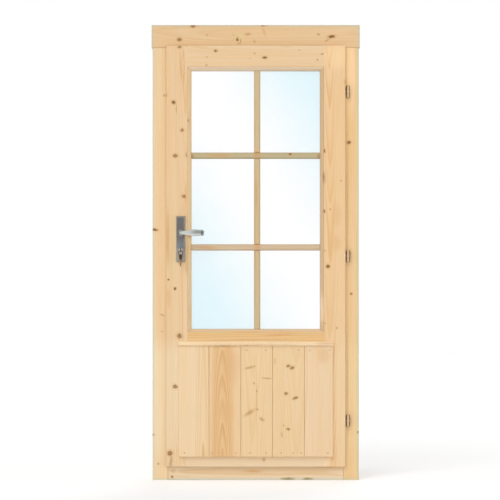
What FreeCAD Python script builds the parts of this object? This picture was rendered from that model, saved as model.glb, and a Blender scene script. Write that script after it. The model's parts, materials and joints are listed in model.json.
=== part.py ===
import FreeCAD, Part
import math
import os

import Sketcher

# Half-glazed single door of softwood in its frame, for an outer wall.
# Millimetres. The origin is the middle of the sill's underside, +Z is up and -Y is outdoors.

doc = FreeCAD.newDocument("cabin_door")
sheet = doc.addObject("Spreadsheet::Sheet", "size")

DRIVING_SIZES = {
    # Frame
    "frame_width": 852,
    "frame_height": 1880,
    "frame_depth": 70,
    "jamb_face": 64,
    "head_face": 94,
    "head_overhang": 4,
    "sill_height": 64,
    "stop_width": 15,
    "arris_radius": 3,
    # Leaf
    "lip_overlap": 8,
    "lip_thickness": 12,
    "leaf_thickness": 40,
    "running_gap": 5,
    "leaf_arris_radius": 2,
    "stile_face": 88.5,
    "top_rail_face": 88,
    "mid_rail_face": 100,
    "bottom_rail_face": 140,
    "lug_thickness": 16,
    "tenon_thickness": 9,
    "tenon_length": 45,
    "tenon_shoulder": 22,
    "tenon_play": 0.2,
    "bead_face": 16,
    "low_bead_face": 12,
    "bead_setback": 2,
    "bead_fall": 9,
    "bead_flat": 5,
    # Glass and glazing bars
    "glass_thickness": 4,
    "glass_play": 3,
    "bar_face": 26,
    "bar_thickness": 12,
    "bar_bevel": 5,
    "upright_bar_shift": 6,
    "pane_high": 337,
    "pane_middle": 353,
    # Boarded panel
    "boards_sawn_off": 17.8,
    "board_shift": 4.2,
    "board_margin": 51.4,
    "board_height": 458.4,
    "board_thickness": 13,
    "board_gap": 0.4,
    "board_vee": 1.8,
    "board_lift": 42.6,
    "tongue_length": 6,
    "tongue_thickness": 4,
    "groove_play": 0.4,
    "cap_height": 17,
    "cap_nose": 7,
    "cap_edge": 6,
    "cap_end": 1.5,
    "mid_rail_reveal": 38,
    "panel_thickness": 12,
    "panel_play": 0.5,
    # Hinges
    "hinge_inset": 190,
    "hinge_radius": 7.5,
    "hinge_height": 52,
    "hinge_offset": 11,
    "hinge_dome": 3,
    "washer_thickness": 1,
    "washer_rim": 0.5,
    "pin_radius": 3,
    "pin_play": 0.05,
    "pin_reach": 20,
    "stud_radius": 3.5,
    "stud_play": 0.1,
    "stud_start": 3.75,
    "stud_length": 38,
    # Lock
    "spindle_height": 1021,
    "handle_inset": 61.2,
    "cylinder_drop": 72,
    "cylinder_radius": 8.5,
    "cylinder_tail": 10,
    "cylinder_depth": 33,
    "cylinder_proud": 3,
    "cylinder_play": 0.3,
    "key_slot_width": 2.4,
    "key_slot_height": 9,
    "key_slot_depth": 26,
    "forend_width": 20,
    "forend_length": 235,
    "forend_thickness": 3,
    "case_thickness": 14,
    "case_depth": 62,
    "case_above_spindle": 45,
    "case_below_cylinder": 48,
    "mortise_play": 0.3,
    "latch_height": 22,
    "latch_thickness": 11,
    "latch_reach": 1,
    "latch_nose": 3,
    "latch_slope": 2.75,
    "latch_length": 30,
    "bolt_height": 32,
    "bolt_rise": 8,
    "strike_length": 190,
    "strike_play": 1,
    "keep_depth": 24,
    # Keys and their ring
    "key_play": 0.2,
    "key_end_play": 1.5,
    "key_tip_bevel": 2,
    "key_shoulder": 1.5,
    "key_neck": 2.5,
    "key_bow_radius": 11,
    "key_hole_radius": 2.75,
    "key_hole_rim": 1.75,
    "key_cut_pitch": 4,
    "key_cut_width": 3.4,
    "key_cut_depth": 3,
    "ring_radius": 9,
    "ring_wire_radius": 0.9,
    "ring_hang": 1.5,
    # Handle
    "plate_width": 37,
    "plate_length": 189,
    "plate_thickness": 8,
    "plate_above_spindle": 69,
    "plate_bevel": 2.5,
    "collar_radius": 13,
    "collar_height": 3,
    "neck_radius": 9.5,
    "neck_play": 0.5,
    "neck_seat": 6,
    "lever_standoff": 46,
    "lever_length": 94,
    "elbow_height": 17,
    "elbow_thickness": 16,
    "grip_height": 26,
    "grip_thickness": 12,
    "grip_rise": 0.5,
    "grip_bevel": 5,
    "spindle_width": 8,
    "spindle_play": 0.05,
    "spindle_end_play": 1,
    "spindle_hole_radius": 7,
    "socket_depth": 34,
}

for row, (alias, number) in enumerate(DRIVING_SIZES.items(), start=1):
    sheet.set(f"A{row}", alias)
    sheet.set(f"B{row}", str(number))
    sheet.setAlias(f"B{row}", alias)
doc.recompute()

# Planes across the depth, from outdoors to indoors
FRAME_OUT = "(-size.frame_depth / 2)"
FRAME_IN = "(size.frame_depth / 2)"
LIP_BACK = f"({FRAME_OUT} - size.running_gap)"
LEAF_OUT = f"({LIP_BACK} - size.lip_thickness)"
LEAF_IN = f"({LEAF_OUT} + size.leaf_thickness)"
STOP_OUT = f"({LEAF_IN} + size.running_gap)"
GLASS_IN = f"({LEAF_IN} - size.lug_thickness)"
GLASS_OUT = f"({GLASS_IN} - size.glass_thickness)"
BEAD_OUT = f"({LEAF_OUT} + size.bead_setback)"
BOARD_OUT = f"({LEAF_OUT} - size.board_thickness)"
LOCK_LINE = f"(({LIP_BACK} + {LEAF_IN}) / 2)"

# Lines across the width, as distances from the middle
OPENING_SIDE = "(size.frame_width / 2 - size.jamb_face)"
LIP_SIDE = f"({OPENING_SIDE} + size.lip_overlap)"
BODY_SIDE = f"({OPENING_SIDE} - size.running_gap)"
STILE_SIDE = f"({LIP_SIDE} - size.stile_face)"
SIGHT_SIDE = f"({STILE_SIDE} - size.bead_face)"
BOARD_SIDE = f"({LIP_SIDE} - size.board_margin)"
HANDLE_X = f"(size.handle_inset - {LIP_SIDE})"
HINGE_X = f"({LIP_SIDE} + size.hinge_offset)"
HINGE_Y = f"({LEAF_OUT} + size.lip_thickness / 2)"

# Levels, from the sill's underside up
OPENING_TOP = "(size.frame_height - size.head_face)"
OPENING_BOTTOM = "size.sill_height"
LIP_TOP = f"({OPENING_TOP} + size.lip_overlap)"
LIP_BOTTOM = f"({OPENING_BOTTOM} - size.lip_overlap)"
BODY_TOP = f"({OPENING_TOP} - size.running_gap)"
BODY_BOTTOM = f"({OPENING_BOTTOM} + size.running_gap)"
BOARD_BOTTOM = f"({LIP_BOTTOM} + size.board_lift)"
BOARD_TOP = f"({BOARD_BOTTOM} + size.board_height)"
CAP_TOP = f"({BOARD_TOP} + size.cap_height)"
MID_RAIL_TOP = f"({CAP_TOP} + size.mid_rail_reveal)"
MID_RAIL_FOOT = f"({MID_RAIL_TOP} - size.mid_rail_face)"
BOTTOM_RAIL_TOP = f"({LIP_BOTTOM} + size.bottom_rail_face)"
TOP_RAIL_FOOT = f"({LIP_TOP} - size.top_rail_face)"
SIGHT_BOTTOM = f"({MID_RAIL_TOP} + size.low_bead_face)"
SIGHT_TOP = f"({TOP_RAIL_FOOT} - size.bead_face)"
PANEL_SIGHT_TOP = f"({MID_RAIL_FOOT} - size.bead_face)"
PANEL_SIGHT_BOTTOM = f"({BOTTOM_RAIL_TOP} + size.bead_face)"
HIGH_BAR_Z = f"({SIGHT_TOP} - size.pane_high - size.bar_face / 2)"
LOW_BAR_Z = f"({HIGH_BAR_Z} - size.pane_middle - size.bar_face)"
CYLINDER_Z = "(size.spindle_height - size.cylinder_drop)"
RAIL_EDGES = [(LIP_BOTTOM, BOTTOM_RAIL_TOP), (MID_RAIL_FOOT, MID_RAIL_TOP), (TOP_RAIL_FOOT, LIP_TOP)]

ALONG_X = FreeCAD.Vector(1, 0, 0)
ALONG_Y = FreeCAD.Vector(0, 1, 0)
ALONG_Z = FreeCAD.Vector(0, 0, 1)
NEAR = 0.01

subparts = []


# Drawing helpers

def new_body(label):
    body = doc.addObject("PartDesign::Body", label)
    body.Label = label
    subparts.append(body)
    return body


def add_sketch(body, role, name, raised=None):
    """A sketch on one of the body's own planes, raised along that plane's normal."""
    sketch = body.newObject("Sketcher::SketchObject", name)
    plane = next(face for face in body.Origin.OriginFeatures if face.Role == role)
    sketch.AttachmentSupport = [(plane, "")]
    sketch.MapMode = "FlatFace"
    if raised is not None:
        sketch.setExpression("AttachmentOffset.Base.z", raised)
    return sketch


def bind(sketch, kind, *where, to):
    number = sketch.addConstraint(Sketcher.Constraint(kind, *where, 1.0))
    sketch.setExpression(f"Constraints[{number}]", to)


def add_outline(sketch, corners):
    """A closed outline: it starts as a ring of corners, and each one is then bound to its place."""
    count = len(corners)
    first = sketch.GeometryCount
    reach = 100
    start = [
        FreeCAD.Vector(reach * math.cos(2 * math.pi * i / count), reach * math.sin(2 * math.pi * i / count), 0)
        for i in range(count)
    ]
    for i in range(count):
        sketch.addGeometry(Part.LineSegment(start[i], start[(i + 1) % count]), False)
    for i in range(count):
        sketch.addConstraint(Sketcher.Constraint("Coincident", first + i, 2, first + (i + 1) % count, 1))
    for i, (across, up) in enumerate(corners):
        bind(sketch, "DistanceX", -1, 1, first + i, 1, to=across)
        bind(sketch, "DistanceY", -1, 1, first + i, 1, to=up)


def add_rectangle(sketch, left, right, low, high):
    add_outline(sketch, [(left, low), (right, low), (right, high), (left, high)])


def add_circle(sketch, across, up, radius):
    number = sketch.GeometryCount
    sketch.addGeometry(Part.Circle(FreeCAD.Vector(1, 1, 0), FreeCAD.Vector(0, 0, 1), 1), False)
    bind(sketch, "Radius", number, to=radius)
    bind(sketch, "DistanceX", -1, 1, number, 3, to=across)
    bind(sketch, "DistanceY", -1, 1, number, 3, to=up)


def add_pad(body, sketch, length, symmetric=False, backwards=False):
    pad = body.newObject("PartDesign::Pad", f"pad_{sketch.Name}")
    pad.Profile = sketch
    pad.setExpression("Length", length)
    pad.SideType = "Symmetric" if symmetric else "One side"
    pad.Reversed = backwards


def add_pocket(body, sketch, depth=None, backwards=False):
    """A pocket of the given depth, or one that cuts right through both ways."""
    pocket = body.newObject("PartDesign::Pocket", f"pocket_{sketch.Name}")
    pocket.Profile = sketch
    if depth is None:
        pocket.Type = "ThroughAll"
        pocket.SideType = "Symmetric"
    else:
        pocket.setExpression("Length", depth)
        pocket.Reversed = backwards


def add_revolution(body, sketch):
    """The sketch turned once round its own upright axis."""
    turned = body.newObject("PartDesign::Revolution", f"turned_{sketch.Name}")
    turned.Profile = sketch
    turned.ReferenceAxis = (sketch, ["V_Axis"])
    turned.Angle = 360


def straight_edges(feature, direction, wanted=lambda middle: True):
    names = []
    for number, edge in enumerate(feature.Shape.Edges, start=1):
        if not isinstance(edge.Curve, Part.Line):
            continue
        if abs(edge.Curve.Direction.dot(direction)) > 1 - NEAR and wanted(edge.CenterOfMass):
            names.append(f"Edge{number}")
    return names


def add_fillet(body, edges, radius):
    doc.recompute()
    solid = body.Tip
    fillet = body.newObject("PartDesign::Fillet", "arrises")
    fillet.Base = (solid, edges(solid))
    fillet.setExpression("Radius", radius)


def add_chamfer(body, edges, bevel):
    doc.recompute()
    solid = body.Tip
    chamfer = body.newObject("PartDesign::Chamfer", "bevels")
    chamfer.Base = (solid, edges(solid))
    chamfer.setExpression("Size", bevel)


def mirrored(corners, side):
    """The same outline on the left (side -1) or on the right (side 1)."""
    return [(f"({side} * {across})", up) for across, up in corners]


# Frame

def make_jamb(label, side):
    jamb = new_body(label)
    section = add_sketch(jamb, "XY_Plane", "section")
    add_rectangle(section, f"({side} * {OPENING_SIDE})", f"({side} * size.frame_width / 2)", FRAME_OUT, FRAME_IN)
    add_pad(jamb, section, OPENING_TOP)
    add_fillet(jamb, lambda solid: straight_edges(solid, ALONG_Z), "size.arris_radius")
    return jamb


def make_cross_member(label, length, low, high, outside, inside):
    member = new_body(label)
    section = add_sketch(member, "YZ_Plane", "section")
    add_rectangle(section, outside, inside, low, high)
    add_pad(member, section, length, symmetric=True)
    return member


def make_frame():
    make_jamb("jamb_left", -1)
    right = make_jamb("jamb_right", 1)
    holes = add_sketch(right, "XZ_Plane", "stud_holes", raised=f"(-{FRAME_OUT})")
    for level in HINGE_LEVELS:
        stud_level = f"({level} - {KNUCKLE_MIDDLE})"
        add_circle(holes, HINGE_X, stud_level, "(size.stud_radius + size.stud_play)")
    add_pocket(right, holes, f"(size.stud_length + {HINGE_Y} - {FRAME_OUT} + size.stud_play)")

    length = "(size.frame_width + 2 * size.head_overhang)"
    head = make_cross_member("frame_head", length, OPENING_TOP, "size.frame_height", FRAME_OUT, FRAME_IN)
    add_fillet(head, lambda solid: straight_edges(solid, ALONG_X), "size.arris_radius")
    length = f"(2 * {OPENING_SIDE})"
    sill = make_cross_member("sill", length, "0", OPENING_BOTTOM, FRAME_OUT, FRAME_IN)
    add_fillet(sill, lambda solid: straight_edges(solid, ALONG_X), "size.arris_radius")

    foot = f"({OPENING_BOTTOM} + size.stop_width)"
    crown = f"({OPENING_TOP} - size.stop_width)"
    make_cross_member("stop_sill", length, OPENING_BOTTOM, foot, STOP_OUT, FRAME_IN)
    make_cross_member("stop_head", length, crown, OPENING_TOP, STOP_OUT, FRAME_IN)
    for label, side in (("stop_left", -1), ("stop_right", 1)):
        stop = new_body(label)
        section = add_sketch(stop, "XY_Plane", "section", raised=foot)
        face = f"({side} * ({OPENING_SIDE} - size.stop_width))"
        add_rectangle(section, face, f"({side} * {OPENING_SIDE})", STOP_OUT, FRAME_IN)
        add_pad(stop, section, f"({crown} - {foot})")


# Leaf

def rebate_ends(stile):
    """The stile's top and bottom keep only the lip, in front of the frame."""
    ends = add_sketch(stile, "YZ_Plane", "end_rebates")
    add_rectangle(ends, LIP_BACK, LEAF_IN, BODY_TOP, LIP_TOP)
    add_rectangle(ends, LIP_BACK, LEAF_IN, LIP_BOTTOM, BODY_BOTTOM)
    add_pocket(stile, ends)


def round_lip(member, edge_lines):
    """Rounds the lip's outer arrises, on the given sides of the member's own box."""

    def edges(solid):
        box = solid.Shape.BoundBox

        def on_lip(middle):
            return abs(middle.y - box.YMin) < NEAR and any(
                abs(getattr(middle, axis) - getattr(box, side)) < NEAR for axis, side in edge_lines
            )

        return straight_edges(solid, ALONG_Z, on_lip) + straight_edges(solid, ALONG_X, on_lip)

    add_fillet(member, edges, "size.leaf_arris_radius")


def add_tenon_section(sketch, low, high, play="0"):
    """Section of a rail's tenon, or with play that of its mortise, between the rail's two edges."""
    middle = f"(({LEAF_OUT} + {GLASS_IN}) / 2)"
    half = f"(size.tenon_thickness / 2 + {play})"
    foot = f"({low} + size.tenon_shoulder - {play})"
    crown = f"({high} - size.tenon_shoulder + {play})"
    add_rectangle(sketch, f"({middle} - {half})", f"({middle} + {half})", foot, crown)


def make_stile(label, side):
    stile = new_body(label)
    section = add_sketch(stile, "XY_Plane", "section", raised=LIP_BOTTOM)
    corners = [
        (LIP_SIDE, LEAF_OUT),
        (STILE_SIDE, LEAF_OUT),
        (STILE_SIDE, GLASS_IN),
        (SIGHT_SIDE, GLASS_IN),
        (SIGHT_SIDE, LEAF_IN),
        (BODY_SIDE, LEAF_IN),
        (BODY_SIDE, LIP_BACK),
        (LIP_SIDE, LIP_BACK),
    ]
    add_outline(section, mirrored(corners, side))
    add_pad(stile, section, f"({LIP_TOP} - {LIP_BOTTOM})")
    rebate_ends(stile)
    mortises = add_sketch(stile, "YZ_Plane", "mortises", raised=f"({side} * {STILE_SIDE})")
    for low, high in RAIL_EDGES:
        add_tenon_section(mortises, low, high, "size.tenon_play")
    add_pocket(stile, mortises, "(size.tenon_length + size.tenon_play)", backwards=side > 0)
    outer_side = "XMax" if side > 0 else "XMin"
    round_lip(stile, [("x", outer_side), ("z", "ZMax"), ("z", "ZMin")])
    return stile


def make_rail(label, edges, corners):
    """A rail between the stiles: its ends fit over their inner lugs and are tenoned into them."""
    rail = new_body(label)
    section = add_sketch(rail, "YZ_Plane", "section")
    add_outline(section, corners)
    add_pad(rail, section, f"(2 * {STILE_SIDE})", symmetric=True)
    shoulders = add_sketch(rail, "XY_Plane", "shoulders")
    for side in (-1, 1):
        add_rectangle(shoulders, f"({side} * {SIGHT_SIDE})", f"({side} * {STILE_SIDE})", GLASS_IN, LEAF_IN)
    add_pocket(rail, shoulders)
    tenons = add_sketch(rail, "YZ_Plane", "tenons")
    add_tenon_section(tenons, *edges)
    add_pad(rail, tenons, f"(2 * ({STILE_SIDE} + size.tenon_length))", symmetric=True)
    return rail


def make_rails():
    low_edges, middle_edges, high_edges = RAIL_EDGES
    top = make_rail("top_rail", high_edges, [
        (LEAF_OUT, LIP_TOP),
        (LIP_BACK, LIP_TOP),
        (LIP_BACK, BODY_TOP),
        (LEAF_IN, BODY_TOP),
        (LEAF_IN, SIGHT_TOP),
        (GLASS_IN, SIGHT_TOP),
        (GLASS_IN, TOP_RAIL_FOOT),
        (LEAF_OUT, TOP_RAIL_FOOT),
    ])
    round_lip(top, [("z", "ZMax")])
    make_rail("mid_rail", middle_edges, [
        (LEAF_OUT, MID_RAIL_FOOT),
        (LEAF_OUT, MID_RAIL_TOP),
        (GLASS_IN, MID_RAIL_TOP),
        (GLASS_IN, SIGHT_BOTTOM),
        (LEAF_IN, SIGHT_BOTTOM),
        (LEAF_IN, PANEL_SIGHT_TOP),
        (GLASS_IN, PANEL_SIGHT_TOP),
        (GLASS_IN, MID_RAIL_FOOT),
    ])
    bottom = make_rail("bottom_rail", low_edges, [
        (LEAF_OUT, LIP_BOTTOM),
        (LEAF_OUT, BOTTOM_RAIL_TOP),
        (GLASS_IN, BOTTOM_RAIL_TOP),
        (GLASS_IN, PANEL_SIGHT_BOTTOM),
        (LEAF_IN, PANEL_SIGHT_BOTTOM),
        (LEAF_IN, BODY_BOTTOM),
        (LIP_BACK, BODY_BOTTOM),
        (LIP_BACK, LIP_BOTTOM),
    ])
    round_lip(bottom, [("z", "ZMin")])


# Glass, beads and glazing bars

def make_glass():
    glass = doc.addObject("Part::Box", "glass_pane")
    glass.Label = "glass_pane"
    half_width = f"({STILE_SIDE} - size.glass_play)"
    foot = f"({MID_RAIL_TOP} + size.glass_play)"
    glass.setExpression("Length", f"2 * {half_width}")
    glass.setExpression("Width", "size.glass_thickness")
    glass.setExpression("Height", f"{TOP_RAIL_FOOT} - size.glass_play - {foot}")
    glass.setExpression("Placement.Base.x", f"-{half_width}")
    glass.setExpression("Placement.Base.y", GLASS_OUT)
    glass.setExpression("Placement.Base.z", foot)
    subparts.append(glass)


def bead_section(outer, inner, toward):
    """The bead's section: a short flat by the wood, then a bevel that falls towards the glass."""
    flat_end = f"({outer} + {toward} * size.bead_flat)"
    low_front = f"({BEAD_OUT} + size.bead_fall)"
    return [
        (outer, GLASS_OUT),
        (outer, BEAD_OUT),
        (flat_end, BEAD_OUT),
        (inner, low_front),
        (inner, GLASS_OUT),
    ]


def make_side_bead(label, side):
    bead = new_body(label)
    section = add_sketch(bead, "XY_Plane", "section", raised=MID_RAIL_TOP)
    add_outline(section, mirrored(bead_section(STILE_SIDE, SIGHT_SIDE, -1), side))
    add_pad(bead, section, f"({TOP_RAIL_FOOT} - {MID_RAIL_TOP})")
    mitres = add_sketch(bead, "XZ_Plane", "mitres")
    add_outline(mitres, mirrored([
        (SIGHT_SIDE, SIGHT_TOP), (SIGHT_SIDE, TOP_RAIL_FOOT), (STILE_SIDE, TOP_RAIL_FOOT),
    ], side))
    add_outline(mitres, mirrored([
        (SIGHT_SIDE, SIGHT_BOTTOM), (SIGHT_SIDE, MID_RAIL_TOP), (STILE_SIDE, MID_RAIL_TOP),
    ], side))
    add_pocket(bead, mitres)


def make_cross_bead(label, outer, inner, toward):
    bead = new_body(label)
    section = add_sketch(bead, "YZ_Plane", "section")
    add_outline(section, [(deep, level) for level, deep in bead_section(outer, inner, toward)])
    add_pad(bead, section, f"(2 * {STILE_SIDE})", symmetric=True)
    mitres = add_sketch(bead, "XZ_Plane", "mitres")
    for side in (-1, 1):
        add_outline(mitres, mirrored([(SIGHT_SIDE, inner), (STILE_SIDE, inner), (STILE_SIDE, outer)], side))
    add_pocket(bead, mitres)


def bar_section(middle, back, outward):
    """A bar's section: flat on the glass, with its front edges bevelled."""
    front = f"({back} + {outward} * size.bar_thickness)"
    cheek = f"({front} - {outward} * size.bar_bevel)"
    near = f"({middle} - size.bar_face / 2)"
    far = f"({middle} + size.bar_face / 2)"
    return [
        (near, back),
        (far, back),
        (far, cheek),
        (f"({far} - size.bar_bevel)", front),
        (f"({near} + size.bar_bevel)", front),
        (near, cheek),
    ]


def make_bars(face, back, outward):
    """One upright and two crossing bars, halved into each other on one face of the glass."""
    front = f"({back} + {outward} * size.bar_thickness)"
    middle = f"({back} + {outward} * size.bar_thickness / 2)"

    upright = new_body(f"upright_bar_{face}")
    section = add_sketch(upright, "XY_Plane", "section", raised=SIGHT_BOTTOM)
    add_outline(section, bar_section("size.upright_bar_shift", back, outward))
    add_pad(upright, section, f"({SIGHT_TOP} - {SIGHT_BOTTOM})")
    notches = add_sketch(upright, "YZ_Plane", "halvings")
    for level in (LOW_BAR_Z, HIGH_BAR_Z):
        low = f"({level} - size.bar_face / 2)"
        high = f"({level} + size.bar_face / 2)"
        add_rectangle(notches, middle, front, low, high)
    add_pocket(upright, notches)

    for name, level in (("high", HIGH_BAR_Z), ("low", LOW_BAR_Z)):
        bar = new_body(f"{name}_bar_{face}")
        section = add_sketch(bar, "YZ_Plane", "section")
        add_outline(section, [(deep, up) for up, deep in bar_section(level, back, outward)])
        add_pad(bar, section, f"(2 * {SIGHT_SIDE})", symmetric=True)
        notch = add_sketch(bar, "XY_Plane", "halving")
        left = "(size.upright_bar_shift - size.bar_face / 2)"
        right = "(size.upright_bar_shift + size.bar_face / 2)"
        add_rectangle(notch, left, right, back, middle)
        add_pocket(bar, notch)


# Boarded panel

BOARD_COUNT = 5
BOARD_COVER = f"((2 * {BOARD_SIDE} + size.boards_sawn_off) / {BOARD_COUNT})"


def board_joint(number):
    """Where the face joint after a board lies: the outer boards are sawn narrower to fit."""
    return f"({number - BOARD_COUNT / 2} * {BOARD_COVER} + size.board_shift)"


def make_board(number):
    first = number == 1
    last = number == BOARD_COUNT
    left = f"(-{BOARD_SIDE})" if first else f"({board_joint(number - 1)} + size.board_gap / 2)"
    right = BOARD_SIDE if last else f"({board_joint(number)} - size.board_gap / 2)"
    middle = f"(({LEAF_OUT} + {BOARD_OUT}) / 2)"
    tongue_back = f"({middle} + size.tongue_thickness / 2)"
    tongue_front = f"({middle} - size.tongue_thickness / 2)"
    tongue_tip = f"({right} + size.tongue_length)"
    groove_back = f"({tongue_back} + size.groove_play)"
    groove_front = f"({tongue_front} - size.groove_play)"
    groove_foot = f"({left} + size.tongue_length + size.groove_play)"
    cheek = f"({BOARD_OUT} + size.board_vee)"

    corners = [(left, LEAF_OUT), (right, LEAF_OUT)]
    if not last:
        corners += [
            (right, tongue_back), (tongue_tip, tongue_back), (tongue_tip, tongue_front), (right, tongue_front),
        ]
    corners += [
        (right, cheek),
        (f"({right} - size.board_vee)", BOARD_OUT),
        (f"({left} + size.board_vee)", BOARD_OUT),
        (left, cheek),
    ]
    if not first:
        corners += [
            (left, groove_front), (groove_foot, groove_front), (groove_foot, groove_back), (left, groove_back),
        ]
    board = new_body(f"board_{number}")
    section = add_sketch(board, "XY_Plane", "section", raised=BOARD_BOTTOM)
    add_outline(section, corners)
    add_pad(board, section, "size.board_height")


def make_cap_strip():
    strip = new_body("cap_strip")
    section = add_sketch(strip, "YZ_Plane", "section")
    nose = f"({BOARD_OUT} - size.cap_nose)"
    add_outline(section, [
        (LEAF_OUT, BOARD_TOP),
        (nose, BOARD_TOP),
        (nose, f"({BOARD_TOP} + size.cap_edge)"),
        (LEAF_OUT, CAP_TOP),
    ])
    add_pad(strip, section, f"(2 * ({BOARD_SIDE} + size.cap_end))", symmetric=True)


def make_inner_panel():
    panel = new_body("inner_panel")
    section = add_sketch(panel, "XY_Plane", "section", raised=f"({BOTTOM_RAIL_TOP} + size.panel_play)")
    half_width = f"({STILE_SIDE} - size.panel_play)"
    add_rectangle(section, f"(-{half_width})", half_width, f"({GLASS_IN} - size.panel_thickness)", GLASS_IN)
    add_pad(panel, section, f"({MID_RAIL_FOOT} - {BOTTOM_RAIL_TOP} - 2 * size.panel_play)")
    vees = add_sketch(panel, "XY_Plane", "vees")
    for number in range(1, BOARD_COUNT):
        joint = board_joint(number)
        add_outline(vees, [
            (f"({joint} - size.board_vee)", GLASS_IN),
            (f"({joint} + size.board_vee)", GLASS_IN),
            (joint, f"({GLASS_IN} - size.board_vee)"),
        ])
    add_pocket(panel, vees)


# Hinges

HINGE_LEVELS = [
    f"({LIP_BOTTOM} + size.hinge_inset)",
    f"(({LIP_BOTTOM} + {LIP_TOP}) / 2)",
    f"({LIP_TOP} - size.hinge_inset)",
]
HINGE_NAMES = ["low", "middle", "high"]
KNUCKLE_MIDDLE = "(size.hinge_height / 4)"


def place_hinge(half, level):
    half.setExpression("Placement.Base.x", HINGE_X)
    half.setExpression("Placement.Base.y", HINGE_Y)
    half.setExpression("Placement.Base.z", level)


def make_hinge_frame_half(name, level):
    """Lower knuckle with its pin, washer and the stud that is screwed into the jamb."""
    half = new_body(f"{name}_hinge_frame_half")
    profile = add_sketch(half, "XZ_Plane", "knuckle")
    rim = "(size.hinge_radius - size.washer_rim)"
    washer_foot = "(-size.washer_thickness / 2)"
    washer_top = "(size.washer_thickness / 2)"
    end = "(-size.hinge_height / 2)"
    add_outline(profile, [
        ("0", end),
        ("(size.hinge_radius - size.hinge_dome)", end),
        ("size.hinge_radius", f"({end} + size.hinge_dome)"),
        ("size.hinge_radius", washer_foot),
        (rim, washer_foot),
        (rim, washer_top),
        ("size.pin_radius", washer_top),
        ("size.pin_radius", "size.pin_reach"),
        ("0", "size.pin_reach"),
    ])
    add_revolution(half, profile)
    stud = add_sketch(half, "XZ_Plane", "stud")
    add_circle(stud, "0", f"(-{KNUCKLE_MIDDLE})", "size.stud_radius")
    add_pad(half, stud, "size.stud_length", backwards=True)
    place_hinge(half, level)


def make_hinge_leaf_half(name, level):
    """Upper knuckle, bored for the pin, with the stud that is screwed into the leaf's edge."""
    half = new_body(f"{name}_hinge_leaf_half")
    profile = add_sketch(half, "XZ_Plane", "knuckle")
    bore = "(size.pin_radius + size.pin_play)"
    foot = "(size.washer_thickness / 2 + size.pin_play)"
    bore_end = "(size.pin_reach + size.washer_thickness)"
    end = "(size.hinge_height / 2)"
    add_outline(profile, [
        (bore, foot),
        ("size.hinge_radius", foot),
        ("size.hinge_radius", f"({end} - size.hinge_dome)"),
        ("(size.hinge_radius - size.hinge_dome)", end),
        ("0", end),
        ("0", bore_end),
        (bore, bore_end),
    ])
    add_revolution(half, profile)
    stud = add_sketch(half, "YZ_Plane", "stud", raised="(-size.stud_start)")
    add_circle(stud, "0", KNUCKLE_MIDDLE, "size.stud_radius")
    add_pad(half, stud, "size.stud_length", backwards=True)
    place_hinge(half, level)


def bore_hinge_stile(stile):
    holes = add_sketch(stile, "YZ_Plane", "stud_holes", raised=LIP_SIDE)
    for level in HINGE_LEVELS:
        stud_level = f"({level} + {KNUCKLE_MIDDLE})"
        add_circle(holes, HINGE_Y, stud_level, "(size.stud_radius + size.stud_play)")
    reach = "(size.stud_start + size.stud_length - size.hinge_offset + size.stud_play)"
    add_pocket(stile, holes, reach)


# Lock

def cylinder_profile(body, name, play, front=None):
    """Two sketches, the round barrel and the narrower tail below it."""
    barrel = add_sketch(body, "XZ_Plane", f"{name}_barrel", raised=front)
    add_circle(barrel, HANDLE_X, CYLINDER_Z, f"(size.cylinder_radius + {play})")
    tail = add_sketch(body, "XZ_Plane", f"{name}_tail", raised=front)
    half = f"(size.cylinder_tail / 2 + {play})"
    foot = f"({CYLINDER_Z} + size.cylinder_radius - size.cylinder_depth - {play})"
    add_rectangle(tail, f"({HANDLE_X} - {half})", f"({HANDLE_X} + {half})", foot, CYLINDER_Z)
    return barrel, tail


def drill_for_lock(body, spindle_radius):
    """Cuts the hole for the spindle and the one for the cylinder right through."""
    spindle_hole = add_sketch(body, "XZ_Plane", "spindle_hole")
    add_circle(spindle_hole, HANDLE_X, "size.spindle_height", spindle_radius)
    add_pocket(body, spindle_hole)
    for profile in cylinder_profile(body, "cylinder_hole", "size.cylinder_play"):
        add_pocket(body, profile)


FOREND_X = f"(-{BODY_SIDE})"
LOCK_MIDDLE = "(size.spindle_height - size.cylinder_drop / 2)"
CASE_TOP = "(size.spindle_height + size.case_above_spindle)"
CASE_FOOT = f"({CYLINDER_Z} - size.case_below_cylinder)"
LATCH_Z = "(size.spindle_height + size.latch_height / 2)"
BOLT_Z = f"({CYLINDER_Z} + size.bolt_rise)"
BOLTS = [(LATCH_Z, "size.latch_height"), (BOLT_Z, "size.bolt_height")]


def across_lock(width, play="0"):
    """Front and back of a piece that lies in the middle of the leaf's edge."""
    half = f"(({width}) / 2 + {play})"
    return f"({LOCK_LINE} - {half})", f"({LOCK_LINE} + {half})"


def add_bolt_holes(sketch, play):
    """A hole for the latch and one for the dead bolt, with play all round."""
    front, back = across_lock("size.latch_thickness", play)
    for level, height in BOLTS:
        half = f"({height} / 2 + {play})"
        add_rectangle(sketch, front, back, f"({level} - {half})", f"({level} + {half})")


def mortise_lock_stile(stile):
    forend = add_sketch(stile, "YZ_Plane", "forend_seat", raised=FOREND_X)
    front, back = across_lock("size.forend_width", "size.mortise_play")
    half = "(size.forend_length / 2 + size.mortise_play)"
    add_rectangle(forend, front, back, f"({LOCK_MIDDLE} - {half})", f"({LOCK_MIDDLE} + {half})")
    add_pocket(stile, forend, "size.forend_thickness", backwards=True)
    case = add_sketch(stile, "YZ_Plane", "case_mortise", raised=FOREND_X)
    front, back = across_lock("size.case_thickness", "size.mortise_play")
    low = f"({CASE_FOOT} - size.mortise_play)"
    high = f"({CASE_TOP} + size.mortise_play)"
    add_rectangle(case, front, back, low, high)
    add_pocket(stile, case, "(size.forend_thickness + size.case_depth + size.mortise_play)", backwards=True)
    drill_for_lock(stile, "(size.neck_radius + size.neck_play)")


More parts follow.
